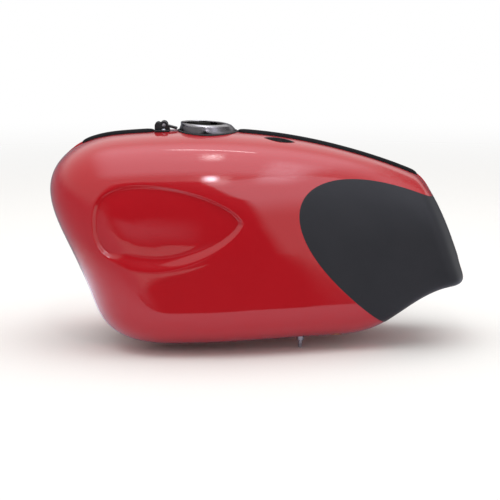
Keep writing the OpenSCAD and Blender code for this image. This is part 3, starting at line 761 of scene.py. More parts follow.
def lens_outline(grow=0.0, steps=40):
    """Two arcs that meet in points, grown about the middle: the pocket's outline."""
    half, w = POCKET_LEN / 2, POCKET_W / 2
    r = (half**2 + w**2) / (2 * w)
    reach = math.degrees(math.asin(half / r))
    up = arc(0, w - r, r, 90 - reach, 90 + reach, steps)[:-1]
    down = arc(0, r - w, r, 270 - reach, 270 + reach, steps)[:-1]
    return np.concatenate([up, down]) * (1 + grow / w)


def pocket_place(points):
    """Lays points drawn on the pocket's own axes onto the left shoulder."""
    x, y = POCKET_AT
    dx = float((top_at(x + 1, y) - top_at(x - 1, y)) / 2)
    dy = float((top_at(x, y + 1) - top_at(x, y - 1)) / 2)
    lean, pitch = math.atan(dy), -math.atan(dx)
    cl, sl, cp, sp = math.cos(lean), math.sin(lean), math.cos(pitch), math.sin(pitch)
    tip = np.array(((1, 0, 0), (0, cl, -sl), (0, sl, cl)))
    turn = np.array(((cp, 0, sp), (0, 1, 0), (-sp, 0, cp)))
    return points @ (turn @ tip).T + (x, y, float(top_at(x, y)))


def mirrored(shell):
    """The same shell on the other side of the centre plane."""
    points, faces = shell
    return outward((points * (1, -1, 1), faces))


def cut(obj, shells, operation="DIFFERENCE"):
    """Takes closed shells out of a piece, or keeps only what lies inside them."""
    tool = add_mesh("cutter", shells)
    cutting = obj.modifiers.new("Cut", "BOOLEAN")
    cutting.operation, cutting.object, cutting.solver = operation, tool, "EXACT"
    apply_modifiers(obj)
    mesh = tool.data
    bpy.data.objects.remove(tool)
    bpy.data.meshes.remove(mesh)
    return obj


def paint_inside(obj, sign):
    """Gives the second material to faces whose normals look in towards the tank's heart."""
    mesh = obj.data
    count = len(mesh.polygons)
    centre, normal = np.empty(count * 3), np.empty(count * 3)
    mesh.polygons.foreach_get("center", centre)
    mesh.polygons.foreach_get("normal", normal)
    to_left = np.array((1, sign, 1))
    centre = (centre.reshape(-1, 3) / MM - SHIFT) * to_left
    facing = (normal.reshape(-1, 3) * to_left * form_normal(centre)).sum(1)
    mesh.polygons.foreach_set("material_index", (facing < -0.3).astype(np.int32))


class TANK_OT_skins(bpy.types.Operator):
    """Builds the two painted half shells with their recesses, pockets' mouths and holes"""
    bl_idname = "tank.skins"
    bl_label = "Painted Skins"

    def execute(self, context):
        shell = half_skin(context.scene.tank_sizes)
        points, faces = plate(lens_outline(CLEAR), -4, 26)
        lens = outward((pocket_place(points), faces))
        top = float(crest_z(FILLER_X))
        for side, sign in (("left", 1), ("right", -1)):
            # Each hole: its place seen from above, its radius, and how far its cutter reaches.
            holes = [(FILLER_X - COLLAR_BACK, 0, COLLAR_HOLE_R, top - 50, top + 50),
                     (OUTLET_AT[0], OUTLET_AT[1] * sign, OUTLET_HOLE_R, -20, 70)]
            if side == "left":
                holes.append((*VENT_AT, VENT_HOLE_R, -20, 60))
            tools = [along_tunnel(arch_line(CLEAR)), lens if sign > 0 else mirrored(lens)]
            tools += [plate(circle(1, 128) * r + (x, y), low, high) for x, y, r, low, high in holes]
            piece = add_mesh(side + "_skin", [shell if sign > 0 else mirrored(shell)])
            for tool in tools:
                cut(piece, [tool])
            finish_piece(piece, ("panels", "inside"), "tank", side + "_shell")
            paint_inside(piece, sign)
        return {"FINISHED"}


def whole_form(rays=288, rings=60):
    """The smooth form as one closed solid: rays from the left hub out to the outline, over it, and
    in to the right hub, with y = width * fullness^(1 / section power)."""
    d = ray_directions(rays)
    reach = np.outer(edge_reach(d), 1 - (np.arange(rings) / rings) ** RING_CROWD)
    left = flank_grid(d, reach)
    grid = np.concatenate([left[:, ::-1], left[:, 1:] * (1, -1, 1)], 1)
    middle = np.array((HUB[0], float(flank_y(*HUB)), HUB[1]))
    return outward(skin(grid, close_u=True, pole_first=middle, pole_last=middle * (1, -1, 1)))


class TANK_OT_tunnel(bpy.types.Operator):
    """Builds the pressed tunnel that closes the shells over the frame, its ends flush with them"""
    bl_idname = "tank.tunnel"
    bl_label = "Frame Tunnel"

    def execute(self, context):
        sheet = context.scene.tank_sizes.sheet / MM
        pressing = along_tunnel(np.concatenate([arch_line(0.0), arch_line(-sheet)[::-1]]))
        piece = cut(add_mesh("tunnel_pressing", [pressing]), [whole_form()], "INTERSECT")
        finish_piece(piece, ("enamel",), "tank", "tunnel")
        return {"FINISHED"}


# ---- Seam ridge and moulding ----

def swept_band(run, half, lift, crown, stations, around, power):
    """A crowned band along the top: at each station a closed ring of points whose half width
    shrinks to nothing over the last half width, and z = top(x, y) + lift + crown * sin(t)^(2 / power).
    The crown is a height that falls off with the width, or a function of x."""
    k = np.linspace(0, math.pi, stations + 2)[1:-1]
    x = run[0] + (run[1] - run[0]) * (1 - np.cos(k)) / 2
    into = np.minimum(x - run[0], run[1] - x)
    plan = np.sqrt(np.clip(1 - (1 - np.minimum(into / half, 1)) ** 2, 0, 1))
    rise = crown(x) if callable(crown) else crown * plan**0.5
    t = np.linspace(0, math.pi, around)
    under = np.linspace(-1, 1, 7)[1:-1]
    side = np.concatenate([np.cos(t), under])
    bow = np.concatenate([np.sin(t) ** (2 / power), 0 * under])
    x_all = np.repeat(x[:, None], len(side), 1)
    y = np.outer(half * plan, side)
    grid = np.stack([x_all, y, top_at(x_all, y) + lift + rise[:, None] * bow], -1)
    ends = [(end, 0, float(top_at(end, 0)) + lift) for end in run]
    return outward(skin(grid.transpose(1, 0, 2), close_u=True, pole_first=ends[0], pole_last=ends[1]))


class TANK_OT_seam(bpy.types.Operator):
    """Builds the welded seam's ridge along the top, fading out at its ends"""
    bl_idname = "tank.seam"
    bl_label = "Seam Ridge"

    def execute(self, context):
        sizes = context.scene.tank_sizes
        shells = []
        for run in SEAM_RUNS:
            def rise(x, run=run):
                """The ridge's height: it grows over 16 mm at its rear end and 24 mm at its front."""
                return sizes.seam_h / MM * np.minimum(ease((x - run[0] + 1) / 16),
                                                      ease((run[1] - x + 1) / 24))
            shells.append(swept_band(run, sizes.seam_w / MM / 2, 0.0, rise, 90, 14, 5.0))
        piece = add_mesh("seam_ridge", shells)
        finish_piece(piece, ("enamel",), "tank", "top_seam", sharp=50)
        return {"FINISHED"}


class TANK_OT_moulding(bpy.types.Operator):
    """Builds the rubber moulding over the seam, in front of the cap hinge and behind the filler"""
    bl_idname = "tank.moulding"
    bl_label = "Seam Moulding"

    def execute(self, context):
        sizes = context.scene.tank_sizes
        for part, run in STRIP_RUNS.items():
            # A power of 1.25 thins the section towards its edges.
            shell = swept_band(run, sizes.strip_w / MM / 2, CLEAR, sizes.strip_t / MM, 150, 30, 1.25)
            piece = add_mesh("moulding_" + part, [shell])
            finish_piece(piece, ("moulding",), "tank", "strip_" + part, sharp=60)
        return {"FINISHED"}


# ---- Filler ----

SHOULDER_R, SHOULDER_BACK, LIP_LEAN = 37.8, 5.0, 2.5
COLLAR_WALL, LIP_RISE, SKIRT = 1.1, 3.2, 8.0
NECK_LOW, NECK_TOP = -26.0, RIM_H - 3.0
FLANGE_R, FLANGE_LOW, FLANGE_TOP = FOOT_R - 2.1, -12.0, -10.4


def collar_shell(centre):
    """The flared collar: a skirt, a wall that narrows to the shoulder by 1 - q^1.5 and a top that
    rises to the lip by 1 - (1 - s)^1.6, each row a circle shifted back as it nears the foot."""
    lip_r = BORE_R + NECK_WALL + 0.1

    def top(s, drop):
        """Rows of the collar's top, from the shoulder at 0 to the lip at 1, lowered by the drop."""
        return np.column_stack([-SHOULDER_BACK * (1 - s),
                                SHOULDER_R + (lip_r + COLLAR_WALL - SHOULDER_R) * s - drop,
                                RIM_H - LIP_RISE * (1 - s) ** 1.6 - drop])
    q = np.linspace(0, 1, 15)
    skirt = [(-COLLAR_BACK, FOOT_R - COLLAR_WALL, -SKIRT), (-COLLAR_BACK, FOOT_R, -SKIRT)]
    flare = np.column_stack([-COLLAR_BACK + (COLLAR_BACK - SHOULDER_BACK) * q,
                             SHOULDER_R + (FOOT_R - SHOULDER_R) * (1 - q**1.5),
                             -1 + (RIM_H - LIP_RISE) * q])
    edge = 0.6
    lip = [(0, lip_r + edge, RIM_H), (0, lip_r, RIM_H - edge), (0, lip_r, NECK_TOP)]
    profile = np.concatenate([skirt, flare, top(np.linspace(0.12, 0.95, 14), 0), lip,
                              top(np.linspace(0.8, 0.05, 8), COLLAR_WALL)])
    points, faces = revolve(soften(profile), centre)
    # The lip leans back: it falls towards the tail, and the foot stays level.
    raised = ease((points[:, 2] - centre[2]) / RIM_H)
    points[:, 2] += raised * (points[:, 0] - centre[0]) * math.tan(math.radians(LIP_LEAN))
    return points, faces


def neck_shell(centre):
    """The filler's tube with a flange under the collar, as a profile turned round the filler."""
    r, wall, edge = BORE_R, BORE_R + NECK_WALL, 0.4
    return revolve([(0, r, NECK_LOW), (0, wall, NECK_LOW), (0, wall, FLANGE_LOW),
                    (-COLLAR_BACK, FLANGE_R, FLANGE_LOW), (-COLLAR_BACK, FLANGE_R, FLANGE_TOP),
                    (0, wall, FLANGE_TOP), (0, wall, NECK_TOP - edge), (0, wall - edge, NECK_TOP),
                    (0, r + edge, NECK_TOP), (0, r, NECK_TOP - edge)], centre)


def neck_slots(centre):
    """Cutters for the two slots in the neck's mouth that the cap's lugs pass through."""
    box = [(BORE_R - 3, -6), (BORE_R + 7, -6), (BORE_R + 7, 6), (BORE_R - 3, 6)]
    slots = []
    for turn in (60, 240):
        points, faces = plate(turned_by(np.array(box), turn), NECK_TOP - 5, NECK_TOP + 5)
        slots.append(outward((points + centre, faces)))
    return slots


def gasket_shell():
    """A rounded lip of rubber round the collar's foot, z = top(x, y) + height of the section."""
    section = np.concatenate([[(FOOT_R + 0.15, 0.05), (FOOT_R + 2.4, 0.05)],
                              arc(FOOT_R + 1.4, 0.9, 1.0, 0, 90, 6), [(FOOT_R + 0.15, 2.0)]])
    t = np.linspace(0, 2 * math.pi, 180, endpoint=False)
    reach, height = section.T
    x, y = FILLER_X - COLLAR_BACK + np.outer(np.cos(t), reach), np.outer(np.sin(t), reach)
    grid = np.stack([x, y, top_at(x, y) + height], -1)
    return outward(skin(grid, close_u=True, close_v=True))


class TANK_OT_filler(bpy.types.Operator):
    """Builds the flared collar, the slotted neck and the gasket under the collar's edge"""
    bl_idname = "tank.filler"
    bl_label = "Filler"

    def execute(self, context):
        centre = (FILLER_X, 0.0, float(crest_z(FILLER_X)))
        collar = add_mesh("collar", [collar_shell(centre)])
        finish_piece(collar, ("collar",), "tank", "filler_collar")
        neck = cut(add_mesh("neck", [neck_shell(centre)]), neck_slots(centre))
        finish_piece(neck, ("neck",), "tank", "filler_neck")
        gasket = add_mesh("gasket", [gasket_shell()])
        finish_piece(gasket, ("rubber",), "tank", "collar_gasket")
        return {"FINISHED"}


# ---- Cap hinge ----

KNUCKLE_R, EAR_T, EAR_GAP, EAR_LOW = 5.8, 3.4, 12.4, 1.0
EAR_BOSS, EAR_BOSS_R = (8.4, 8.4), 4.9
BASE_T, BASE_REAR, BASE_FRONT, BASE_HALF = 2.4, -8.0, 13.3, 16.6
STOP_T, STOP_H, STOP_HALF = 3.0, 5.0, 5.0
ARM_DROP, ARM_REACH, ARM_LOW, ARM_HIGH = 15.0, 19.5, -1.4, 1.6
ARM_HOLE_AT, CAP_SCREW_R, CAP_SCREW_Y = 16.0, 1.1, 3.0

# The bracket screws stand SCREW_Y to each side: a domed head and a shank, as radius and height.
SCREW_Y = 13.0
SCREW_PROFILE = ((0.01, 2.3), (1.4, 2.2), (2.2, 1.9), (2.8, 1.4), (3.15, 0.8), (3.2, 0.1),
                 (1.65, 0.02), (1.65, -6), (0.01, -6))


def hinge_centre():
    """The crest under the hinge's pin."""
    return np.array((HINGE_X, 0.0, float(crest_z(HINGE_X))))


def bracket_shells(c):
    """Two ears, the stop between them, and a foot whose underside follows the arch of the top."""
    ear = np.concatenate([[(BASE_REAR, EAR_LOW), (BASE_FRONT, EAR_LOW)],
                          arc(*EAR_BOSS, EAR_BOSS_R, -4, 130, 18),
                          arc(0, HINGE_H, KNUCKLE_R, 34, 180, 20)])
    shells = [across(plate(ear, y, y + EAR_T), c) for y in (EAR_GAP / 2, -EAR_GAP / 2 - EAR_T)]
    stop = [(BASE_REAR, EAR_LOW), (BASE_REAR + STOP_T, EAR_LOW),
            (BASE_REAR + STOP_T, STOP_H), (BASE_REAR, STOP_H)]
    shells.append(across(plate(stop, -STOP_HALF, STOP_HALF), c))
    y = np.linspace(-BASE_HALF, BASE_HALF, 33)
    ends = []
    for x in (HINGE_X + BASE_REAR, HINGE_X + BASE_FRONT):
        under = np.column_stack([0 * y + x, y, top_at(x, y) + 0.1])
        over = np.column_stack([0 * y + x, y[::-1], 0 * y + c[2] + BASE_T])
        ends.append(np.concatenate([under, over]))
    return shells + [prism(*ends)]


def arm_shell(pin):
    """The leaf: a round knuckle on the pin and a thin arm with a round end, turned down."""
    r, middle = KNUCKLE_R - 0.4, (ARM_LOW + ARM_HIGH) / 2
    knuckle = arc(0, 0, r, 180 + math.degrees(math.asin(-ARM_LOW / r)),
                  540 - math.degrees(math.asin(ARM_HIGH / r)), 40)
    arm = np.concatenate([knuckle, [(1 - ARM_REACH, ARM_HIGH)],
                          arc(1 - ARM_REACH, middle, (ARM_HIGH - ARM_LOW) / 2, 90, 270, 9),
                          [(1 - ARM_REACH, ARM_LOW)]])
    half = EAR_GAP / 2 - 0.2
    return across(plate(turned_by(arm, ARM_DROP), -half, half), pin)


def arm_drills(pin):
    """Cutters for the leaf's two holes for the cap's screws, square to the arm."""
    drills = []
    for side in (-1, 1):
        points, faces = plate(circle(CAP_SCREW_R, 24), -10, 10)
        points += (-ARM_HOLE_AT, side * CAP_SCREW_Y, 0)
        points[:, (0, 2)] = turned_by(points[:, (0, 2)], ARM_DROP)
        drills.append(outward((points + pin, faces)))
    return drills


def pin_shell(pin):
    """The hinge's pin across the ears: a domed head at one end and a chamfer at the other."""
    reach = EAR_GAP / 2 + EAR_T
    s = np.linspace(0, 1, 8)
    dome = arc(0, 0, 1, 0, 90, 7)
    head = np.column_stack([(PIN_R + 1.2) * np.minimum(1, 0.82 + 0.18 * dome[:, 0]),
                            -reach - 0.05 - dome[:, 1]])
    profile = np.concatenate([[(0.01, -reach - 1.05)], head[::-1], [(PIN_R, -reach - 0.05)],
                              [(PIN_R, reach + 0.1)],
                              np.column_stack([PIN_R - 0.4 * s, reach + 0.1 + 0.4 * s]),
                              [(0.01, reach + 0.5)]])
    return across(revolve(profile, (0, 0, 0), 48), pin)


class TANK_OT_cap_hinge(bpy.types.Operator):
    """Builds the cap hinge: cast bracket, pin, screws and the leaf's stub arm"""
    bl_idname = "tank.cap_hinge"
    bl_label = "Cap Hinge"

    def execute(self, context):
        foot = hinge_centre()
        pin = foot + (0, 0, HINGE_H)
        bracket = bevel(add_mesh("hinge_bracket_cast", bracket_shells(foot)), 0.7)
        finish_piece(bracket, ("casting",), "tank", "hinge_bracket")
        leaf = cut(bevel(add_mesh("hinge_leaf_arm", [arm_shell(pin)]), 0.5), arm_drills(pin))
        finish_piece(leaf, ("casting",), "cap_leaf", "hinge_leaf")
        turned = add_mesh("hinge_pin_turned", [pin_shell(pin)])
        finish_piece(turned, ("zinc",), "tank", "hinge_pin")

        seats = [foot + (0, side * SCREW_Y, BASE_T) for side in (-1, 1)]
        screws = add_mesh("hinge_screw_pair", [revolve(SCREW_PROFILE, seat, 40) for seat in seats])
        points, faces = plate([(-4, -0.5), (4, -0.5), (4, 0.5), (-4, 0.5)], 1.3, 3)
        cut(screws, [outward((points + seat, faces)) for seat in seats])
        finish_piece(screws, ("zinc",), "tank", "hinge_screws")
        return {"FINISHED"}


# ---- Shoulder pockets ----

# The cup's rings from the middle of its underside, round its rim and down to its floor: the part
# of the lens that each one takes, and its height from the shoulder.
CUP_RINGS = ((0.2, -POCKET_DEPTH), (0.6, -POCKET_DEPTH), (1.0, -POCKET_DEPTH + 1.0),
             (1.0, -0.3), (0.985, -0.05), (0.93, -0.15), (0.9, -1.0), (0.86, -POCKET_DEPTH + 3.2),
             (0.74, -POCKET_DEPTH + 1.6), (0.5, -POCKET_DEPTH + 1.0), (0.2, -POCKET_DEPTH + 1.0))
# The ring from which the cup's inside is black rubber, as painted shade.
PAINTED_SHADE_FROM = 4


class TANK_OT_pockets(bpy.types.Operator):
    """Builds the lens-shaped cups let into the shoulders"""
    bl_idname = "tank.pockets"
    bl_label = "Shoulder Pockets"

    def execute(self, context):
        lens = lens_outline()
        grid = np.stack([np.column_stack([lens * part, np.full(len(lens), z)]) for part, z in CUP_RINGS], 1)
        points, faces = skin(grid, close_u=True, pole_first=(0, 0, -POCKET_DEPTH),
                             pole_last=(0, 0, 1.0 - POCKET_DEPTH))
        cup = outward((pocket_place(points), faces))
        # Painted shade: a black rubber lining stands in for the shade deep in the cup, folded over the rim.
        # It takes the spans from the ring set above inwards, and the fan that closes the floor.
        spans = np.tile(np.arange(len(CUP_RINGS) - 1) >= PAINTED_SHADE_FROM, len(lens))
        painted_shade_faces = np.concatenate([spans, np.repeat([False, True], len(lens))]).astype(np.int32)
        for side, shell in (("left", cup), ("right", mirrored(cup))):
            piece = add_mesh("pocket_cup_" + side, [shell])
            finish_piece(piece, ("enamel", "rubber"), "tank", "pocket_" + side)
            piece.data.polygons.foreach_set("material_index", painted_shade_faces)
        return {"FINISHED"}


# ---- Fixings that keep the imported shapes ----

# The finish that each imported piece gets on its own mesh.
FIXING_FINISHES = {
    "baffle_left": "inside", "baffle_right": "inside", "front_cup_left": "enamel",
    "front_cup_right": "enamel", "rear_bracket": "enamel", "rear_grommet": "rubber",
    "rear_sleeve": "zinc", "outlet_left": "brass", "outlet_right": "brass", "vent_pipe": "zinc",
}


class TANK_OT_fixings(bpy.types.Operator):
    """Finishes the baffles, cups, bracket, grommet, sleeve, outlets and vent pipe"""
    bl_idname = "tank.fixings"
    bl_label = "Fixings"

    def execute(self, context):
        for node, finish in FIXING_FINISHES.items():
            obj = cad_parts[node]
            if not obj.material_slots:
                obj.data.materials.append(None)
            for slot in obj.material_slots:
                slot.material = finish_named(finish)
        return {"FINISHED"}


# ---- Stage ----

CAMERA_DISTANCE, CAMERA_RISE, AIM = 2.4, 10.0, np.array((0.0, 0.0, 150.0))
PX_PER_MM, FRAME_PX, AIM_PX, SENSOR = 1 / 1.473, 500.0, (256.5, 236.0), 36.0

# Levels of light, and the tints of what gives it back.
WORLD_LEVEL, OVERHEAD, KEY, SCRIM, TAIL_SCRIM = 0.80, 1.15, 16.0, 1.4, 1.25
WHITE, COOL, ROSE = (1.0, 1.0, 1.0), (0.98, 1.0, 1.15), (1.0, 0.95, 1.1)

# Places in metres. The curtain stands at CURTAIN_Y: each row is a height and the two sides there.
# The cove runs round the nose: each row is a distance from the middle and a height.
KEY_AT, KEY_TOWARDS, KEY_SIZE = (0.006, 1.35, 2.06), (0.065, 0.121, 0.252), (0.16, 0.22)
SOFTBOX_AT, SOFTBOX_TOWARDS, SOFTBOX_SIZE = (0, -0.05, 2.2), (0, -0.05, 0), (2.8, 2.5)
FLOOR_HALF, FLOOR_Z, PAPER_Z, CLOTH_Z, CEILING = 4.0, -0.0004, 0.001, 0.002, 2.3
CURTAIN_Y = 1.6
CURTAIN = ((-0.1, 1.2, -1.0), (0.4, 1.25, -0.74), (0.8, 1.2, -0.64), (1.05, 1.1, -0.56),
           (1.25, 0.95, -0.28), (1.6, 0.85, -0.12), (2.0, 0.75, 0.05), (2.25, 0.7, 0.12))
COVE = ((0.36, 0.003), (0.9, 0.003), (1.3, 0.003), (1.62, 0.06), (1.74, 0.35), (1.76, 0.75), (1.76, 1.15))
COVE_AROUND = np.radians(np.linspace(18, 235, 55))


def level(z, *rows):
    """Rows of places (x, y), all at one height."""
    return [[(x, y, z) for x, y in row] for row in rows]


# What the gloss sees: each card's rows of corners, the part of its width and height that it fades
# over at each side, and its tone or glow. A black curtain and floor cloth stand before the flank, a
# grey cove goes round the nose, and scrims hang overhead and beyond the tail. The smaller ones give
# the highlights their soft edges, the pale patch ahead of the knee panel and the line on the top.
CARDS = (
    ("Black_molton_curtain", [[(a, CURTAIN_Y, z), (b, CURTAIN_Y, z)] for z, a, b in CURTAIN],
     ((0.42, 0.1), (0, 0.12)), {"tone": (0.04, 0.02)}),
    ("Black_molton_floor_cloth",
     level(CLOTH_Z, [(0.30, 0.37), (0.14, 0.375), (-0.08, 0.38), (-0.2, 0.34), (-0.38, 0.37)],
           [(0.05, 1.62), (-0.2, 1.62), (-0.47, 1.62), (-0.7, 1.62), (-1.0, 1.62)]),
     ((0.06, 0.2), (0.01, 0)), {"tone": (0.04, 0.02)}),
    ("Cool_floor_paper", level(PAPER_Z, [(0.5, -0.5), (-0.7, -0.5)], [(0.5, 0.5), (-0.7, 0.5)]),
     ((0.1, 0.1), (0.1, 0.1)), {"tone": (0.9, 0.9), "tint": COOL}),
    ("Grey_cove", [[(r * math.sin(a), r * math.cos(a), z) for a in COVE_AROUND] for r, z in COVE],
     ((0.06, 0.1), (0.06, 0.25)), {"tone": (0.52, 0.03), "tint": COOL}),
    ("Overhead_scrim", level(CEILING, [(1.4, -1.75), (-1.24, -1.75)], [(1.1, 1.45), (-1.32, 1.45)]),
     ((0.3, 0.1), (0.35, 0.2)), {"glow": SCRIM, "tint": COOL}),
    ("Tail_scrim",
     [[(-0.5, 2.0, 0.6), (-0.9, 2.0, 0.6), (-2.3, 0.5, 0.6)],
      [(-0.42, 2.0, 1.3), (-0.8, 2.0, 1.3), (-2.3, 0.5, 1.3)],
      [(0.08, 2.0, 2.0), (-0.6, 2.0, 2.0), (-2.3, 0.5, 2.0)],
      [(0.1, 2.0, 3.0), (-0.5, 2.0, 3.0), (-2.3, 0.5, 3.0)]],
     ((0.12, 0.2), (0.4, 0.1)), {"glow": TAIL_SCRIM, "tint": COOL}),
    ("Grey_ceiling", level(CEILING, [(-1.15, -2.8), (-2.8, -2.8)], [(-1.15, -0.4), (-2.8, -0.4)]),
     ((0.12, 0.1), (0.1, 0.25)), {"tone": (0.5, 0.5)}),
    ("Window_bloom", level(CEILING, [(-0.45, -0.2), (-1.1, -0.2)], [(-0.68, 2.1), (-1.65, 2.1)]),
     ((0.3, 0.55), (0.2, 0.5)), {"glow": 3.0, "tint": COOL}),
    ("Key_halo", level(CEILING, [(0.22, 0.9), (-0.38, 0.9)], [(0.26, 2.3), (-0.45, 2.3)]),
     ((0.5, 0.5), (0.5, 0.5)), {"glow": 3.0}),
    ("Key_bounce", level(KEY_AT[2], [(0.13, 1.05), (-0.13, 1.05)], [(0.13, 1.65), (-0.13, 1.65)]),
     ((0.5, 0.5), (0.5, 0.5)), {"glow": 24.0, "tint": ROSE}),
    ("Ceiling_streak", level(CEILING, [(0.17, -0.45), (-0.12, -0.45)], [(0.17, 0.33), (-0.12, 0.33)]),
     ((0.5, 0.5), (0.5, 0.5)), {"glow": 17.0}),
    ("Curtain_bloom", [[(0.02, 1.58, z), (0.62, 1.58, z)] for z in (-0.05, 0.5)],
     ((0.45, 0.45), (0.45, 0.45)), {"glow": 0.5, "tint": COOL}),
    ("Tube_lamp", [[(0.32, -0.74, 2.25), (-0.37, -0.60, 2.25)], [(0.32, -0.66, 2.25), (-0.37, -0.52, 2.25)]],
     ((0.1, 0.1), (0.3, 0.3)), {"glow": 7.0}),
)


def look(obj, at, towards):
    """Stands a lamp or a camera at one place and turns it towards another."""
    obj.location = at
    obj.rotation_euler = (Vector(towards) - Vector(at)).to_track_quat("-Z", "Y").to_euler()


def studio_camera():
    """The camera, its lens and shift set so that AIM falls on AIM_PX at PX_PER_MM."""
    rise = math.radians(CAMERA_RISE)
    aim = (AIM + SHIFT) * MM
    data = bpy.data.cameras.new("Camera")
    data.sensor_width = SENSOR
    data.lens = SENSOR * CAMERA_DISTANCE / MM * PX_PER_MM / FRAME_PX
    data.shift_x = -(AIM_PX[0] - FRAME_PX / 2) / FRAME_PX
    data.shift_y = (AIM_PX[1] - FRAME_PX / 2) / FRAME_PX
    camera = new_object("Camera", data)
    look(camera, aim + CAMERA_DISTANCE * np.array((0, math.cos(rise), math.sin(rise))), aim)
    return camera


def studio_world():
    """A plain level of light, and white where the camera, gloss and glass look at it."""
    world = bpy.data.worlds.new("Studio")
    world.use_nodes = True
    tree = world.node_tree
    tree.nodes.clear()
    path = put(tree, "ShaderNodeLightPath").outputs
    seen = put(tree, "ShaderNodeMath", {"operation": "ADD"},
               links={0: path["Is Camera Ray"], 1: path["Is Glossy Ray"]}).outputs[0]
    seen = put(tree, "ShaderNodeMath", {"operation": "ADD", "use_clamp": True},
               links={0: seen, 1: path["Is Transmission Ray"]}).outputs[0]
    strength = put(tree, "ShaderNodeMix", values={2: WORLD_LEVEL, 3: 1.0}, links={0: seen}).outputs[0]
    light = put(tree, "ShaderNodeBackground", values={"Color": opaque(WHITE)},
                links={"Strength": strength}).outputs[0]
    put(tree, "ShaderNodeOutputWorld", links={"Surface": light})
    return world


def studio_sheet(name, rows, material):
    """A sheet through rows of corners, its UV from 0 to 1 along each row and from row to row."""
    grid = np.array(rows, float)
    nv, nu = grid.shape[:2]
    index = np.arange(nu * nv).reshape(nv, nu)
    quads = np.stack([index[:-1, :-1], index[:-1, 1:], index[1:, 1:], index[1:, :-1]], -1).reshape(-1, 4)
    mesh = bpy.data.meshes.new(name)
    mesh.from_pydata(grid.reshape(-1, 3), [], quads.tolist())
    uv = np.stack(np.meshgrid(np.linspace(0, 1, nu), np.linspace(0, 1, nv)), -1).reshape(-1, 2)
    mesh.uv_layers.new(name="UVMap").data.foreach_set("uv", uv[quads.ravel()].ravel())
    mesh.materials.append(material)
    return new_object(name, mesh)


def paper_floor(colours):
    """Matt studio paper under the tank, let through to the white surround far from it."""
    paper, tree, place = new_material("Matt studio paper")
    reach = put(tree, "ShaderNodeVectorMath", {"operation": "LENGTH"}, links={0: place}).outputs["Value"]
    fade = put(tree, "ShaderNodeMapRange", {"interpolation_type": "SMOOTHSTEP"},
               {"From Min": 1.1, "From Max": 3.2}, {"Value": reach}).outputs[0]
    # Fibres of 4 mm.
    fibre = put(tree, "ShaderNodeTexNoise", values={"Scale": scale_of(4), "Detail": 3.0},
                links={"Vector": place}).outputs["Fac"]
    tone = put(tree, "ShaderNodeMix", {"data_type": "RGBA"},
               {6: opaque(colours.floor), 7: linear("#F1F0EE")}, {0: fibre}).outputs[2]
    matt = put(tree, "ShaderNodeBsdfDiffuse", links={"Color": tone}).outputs[0]
    clear = put(tree, "ShaderNodeBsdfTransparent").outputs[0]
    seen = put(tree, "ShaderNodeMixShader", links={0: fade, 1: matt, 2: clear}).outputs[0]
    put(tree, "ShaderNodeOutputMaterial", links={"Surface": seen})
    r = FLOOR_HALF
    studio_sheet("floor", level(FLOOR_Z, [(-r, -r), (r, -r)], [(-r, r), (r, r)]), paper)


def soft_sides(tree, fades):
    """1 inside a card and 0 at its edge, by a smooth step in from each side, and the way along it."""
    across_card = put(tree, "ShaderNodeUVMap").outputs[0]
    axes = put(tree, "ShaderNodeSeparateXYZ", links={"Vector": across_card}).outputs
    held = None
    for axis, (near, far) in zip("XY", fades):
        for edge, inner in ((0.0, near), (1.0, 1 - far)):
            if inner == edge:
                continue
            step = put(tree, "ShaderNodeMapRange", {"interpolation_type": "SMOOTHSTEP"},
                       {"From Min": edge, "From Max": inner}, {"Value": axes[axis]}).outputs[0]
            held = step if held is None else put(tree, "ShaderNodeMath", {"operation": "MULTIPLY"},
                                                 links={0: held, 1: step}).outputs[0]
    return held, axes["X"]


def studio_card(name, rows, fades, tone=None, glow=None, tint=WHITE):
    """A card that only reflections see, with soft edges: cloth of a grey tone that runs from one
    side to the other, or a lit scrim that adds its glow to what is behind it. Rows are lists of
    corners, from the lower edge up."""
    material, tree = empty_material(name)
    held, side = soft_sides(tree, fades)
    clear = put(tree, "ShaderNodeBsdfTransparent").outputs[0]
    if glow:
        strength = put(tree, "ShaderNodeMath", {"operation": "MULTIPLY"}, {1: glow}, {0: held}).outputs[0]
        light = put(tree, "ShaderNodeEmission", values={"Color": opaque(tint)},
                    links={"Strength": strength}).outputs[0]
        seen = put(tree, "ShaderNodeAddShader", links={0: clear, 1: light}).outputs[0]
    else:
        grey = put(tree, "ShaderNodeMapRange", values={"To Min": tone[0], "To Max": tone[1]},
                   links={"Value": side}).outputs[0]
        dyed = put(tree, "ShaderNodeVectorMath", {"operation": "SCALE"}, {0: tint}, {3: grey}).outputs[0]
        cloth = put(tree, "ShaderNodeBsdfDiffuse", links={"Color": dyed}).outputs[0]
        seen = put(tree, "ShaderNodeMixShader", links={0: held, 1: clear, 2: cloth}).outputs[0]
    put(tree, "ShaderNodeOutputMaterial", links={"Surface": seen})
    card = studio_sheet(name, rows, material)
    for seen_by in ("camera", "diffuse", "transmission", "shadow"):
        setattr(card, "visible_" + seen_by, False)


def area_lamp(name, at, towards, size, radiance):
    """A rectangular lamp of even radiance that the gloss doesn't see: its power in watts is four
    times radiance times area."""
    lamp = bpy.data.lights.new(name, "AREA")
    lamp.shape = "RECTANGLE"
    lamp.size, lamp.size_y = size
    lamp.energy = 4 * radiance * size[0] * size[1]
    obj = new_object(name, lamp)
    look(obj, at, towards)
    obj.visible_glossy = False


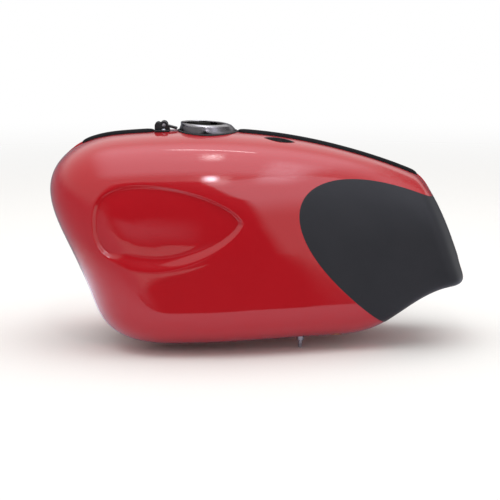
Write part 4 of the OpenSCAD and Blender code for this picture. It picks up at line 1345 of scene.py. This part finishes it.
class TANK_OT_stage(bpy.types.Operator):
    """Lays the pale floor and sets the lamps, the cards and the camera"""
    bl_idname = "tank.stage"
    bl_label = "Stage and Camera"

    def execute(self, context):
        scene = context.scene
        scene.camera = studio_camera()
        scene.view_settings.view_transform = "Standard"
        paper_floor(scene.tank_colours)
        scene.world = studio_world()
        area_lamp("Overhead softbox", SOFTBOX_AT, SOFTBOX_TOWARDS, SOFTBOX_SIZE, OVERHEAD)
        area_lamp("Key", KEY_AT, KEY_TOWARDS, KEY_SIZE, KEY)
        for name, rows, fades, settings in CARDS:
            studio_card(name, rows, fades, **settings)
        return {"FINISHED"}


# ---- Panel, registration and the run ----

class TANK_PT_tools(bpy.types.Panel):
    """The tank's settings and the buttons that build it"""
    bl_label = "Fuel Tank"
    bl_space_type = "VIEW_3D"
    bl_region_type = "UI"
    bl_category = "Fuel Tank"

    def draw(self, context):
        layout = self.layout
        for group in (context.scene.tank_sizes, context.scene.tank_colours):
            box = layout.box()
            for key in group.__annotations__:
                box.prop(group, key)
        for operator in OPERATORS:
            layout.operator(operator.bl_idname)


OPERATORS = (TANK_OT_stage, TANK_OT_skins, TANK_OT_tunnel, TANK_OT_seam, TANK_OT_moulding, TANK_OT_filler,
             TANK_OT_cap_hinge, TANK_OT_pockets, TANK_OT_fixings)
CLASSES = (TankSizes, TankColours) + OPERATORS + (TANK_PT_tools,)


def register():
    """Adds the settings, the operators and the panel."""
    for cls in CLASSES:
        bpy.utils.register_class(cls)
    bpy.types.Scene.tank_sizes = bpy.props.PointerProperty(type=TankSizes)
    bpy.types.Scene.tank_colours = bpy.props.PointerProperty(type=TankColours)


def unregister():
    """Takes the settings, the operators and the panel away again."""
    del bpy.types.Scene.tank_sizes, bpy.types.Scene.tank_colours
    for cls in reversed(CLASSES):
        bpy.utils.unregister_class(cls)


def main():
    """Builds everything in order, in metres."""
    register()
    bpy.ops.tank.stage()
    bpy.ops.tank.skins()
    bpy.ops.tank.tunnel()
    bpy.ops.tank.seam()
    bpy.ops.tank.moulding()
    bpy.ops.tank.filler()
    bpy.ops.tank.cap_hinge()
    bpy.ops.tank.pockets()
    bpy.ops.tank.fixings()


if __name__ == "__main__":
    main()
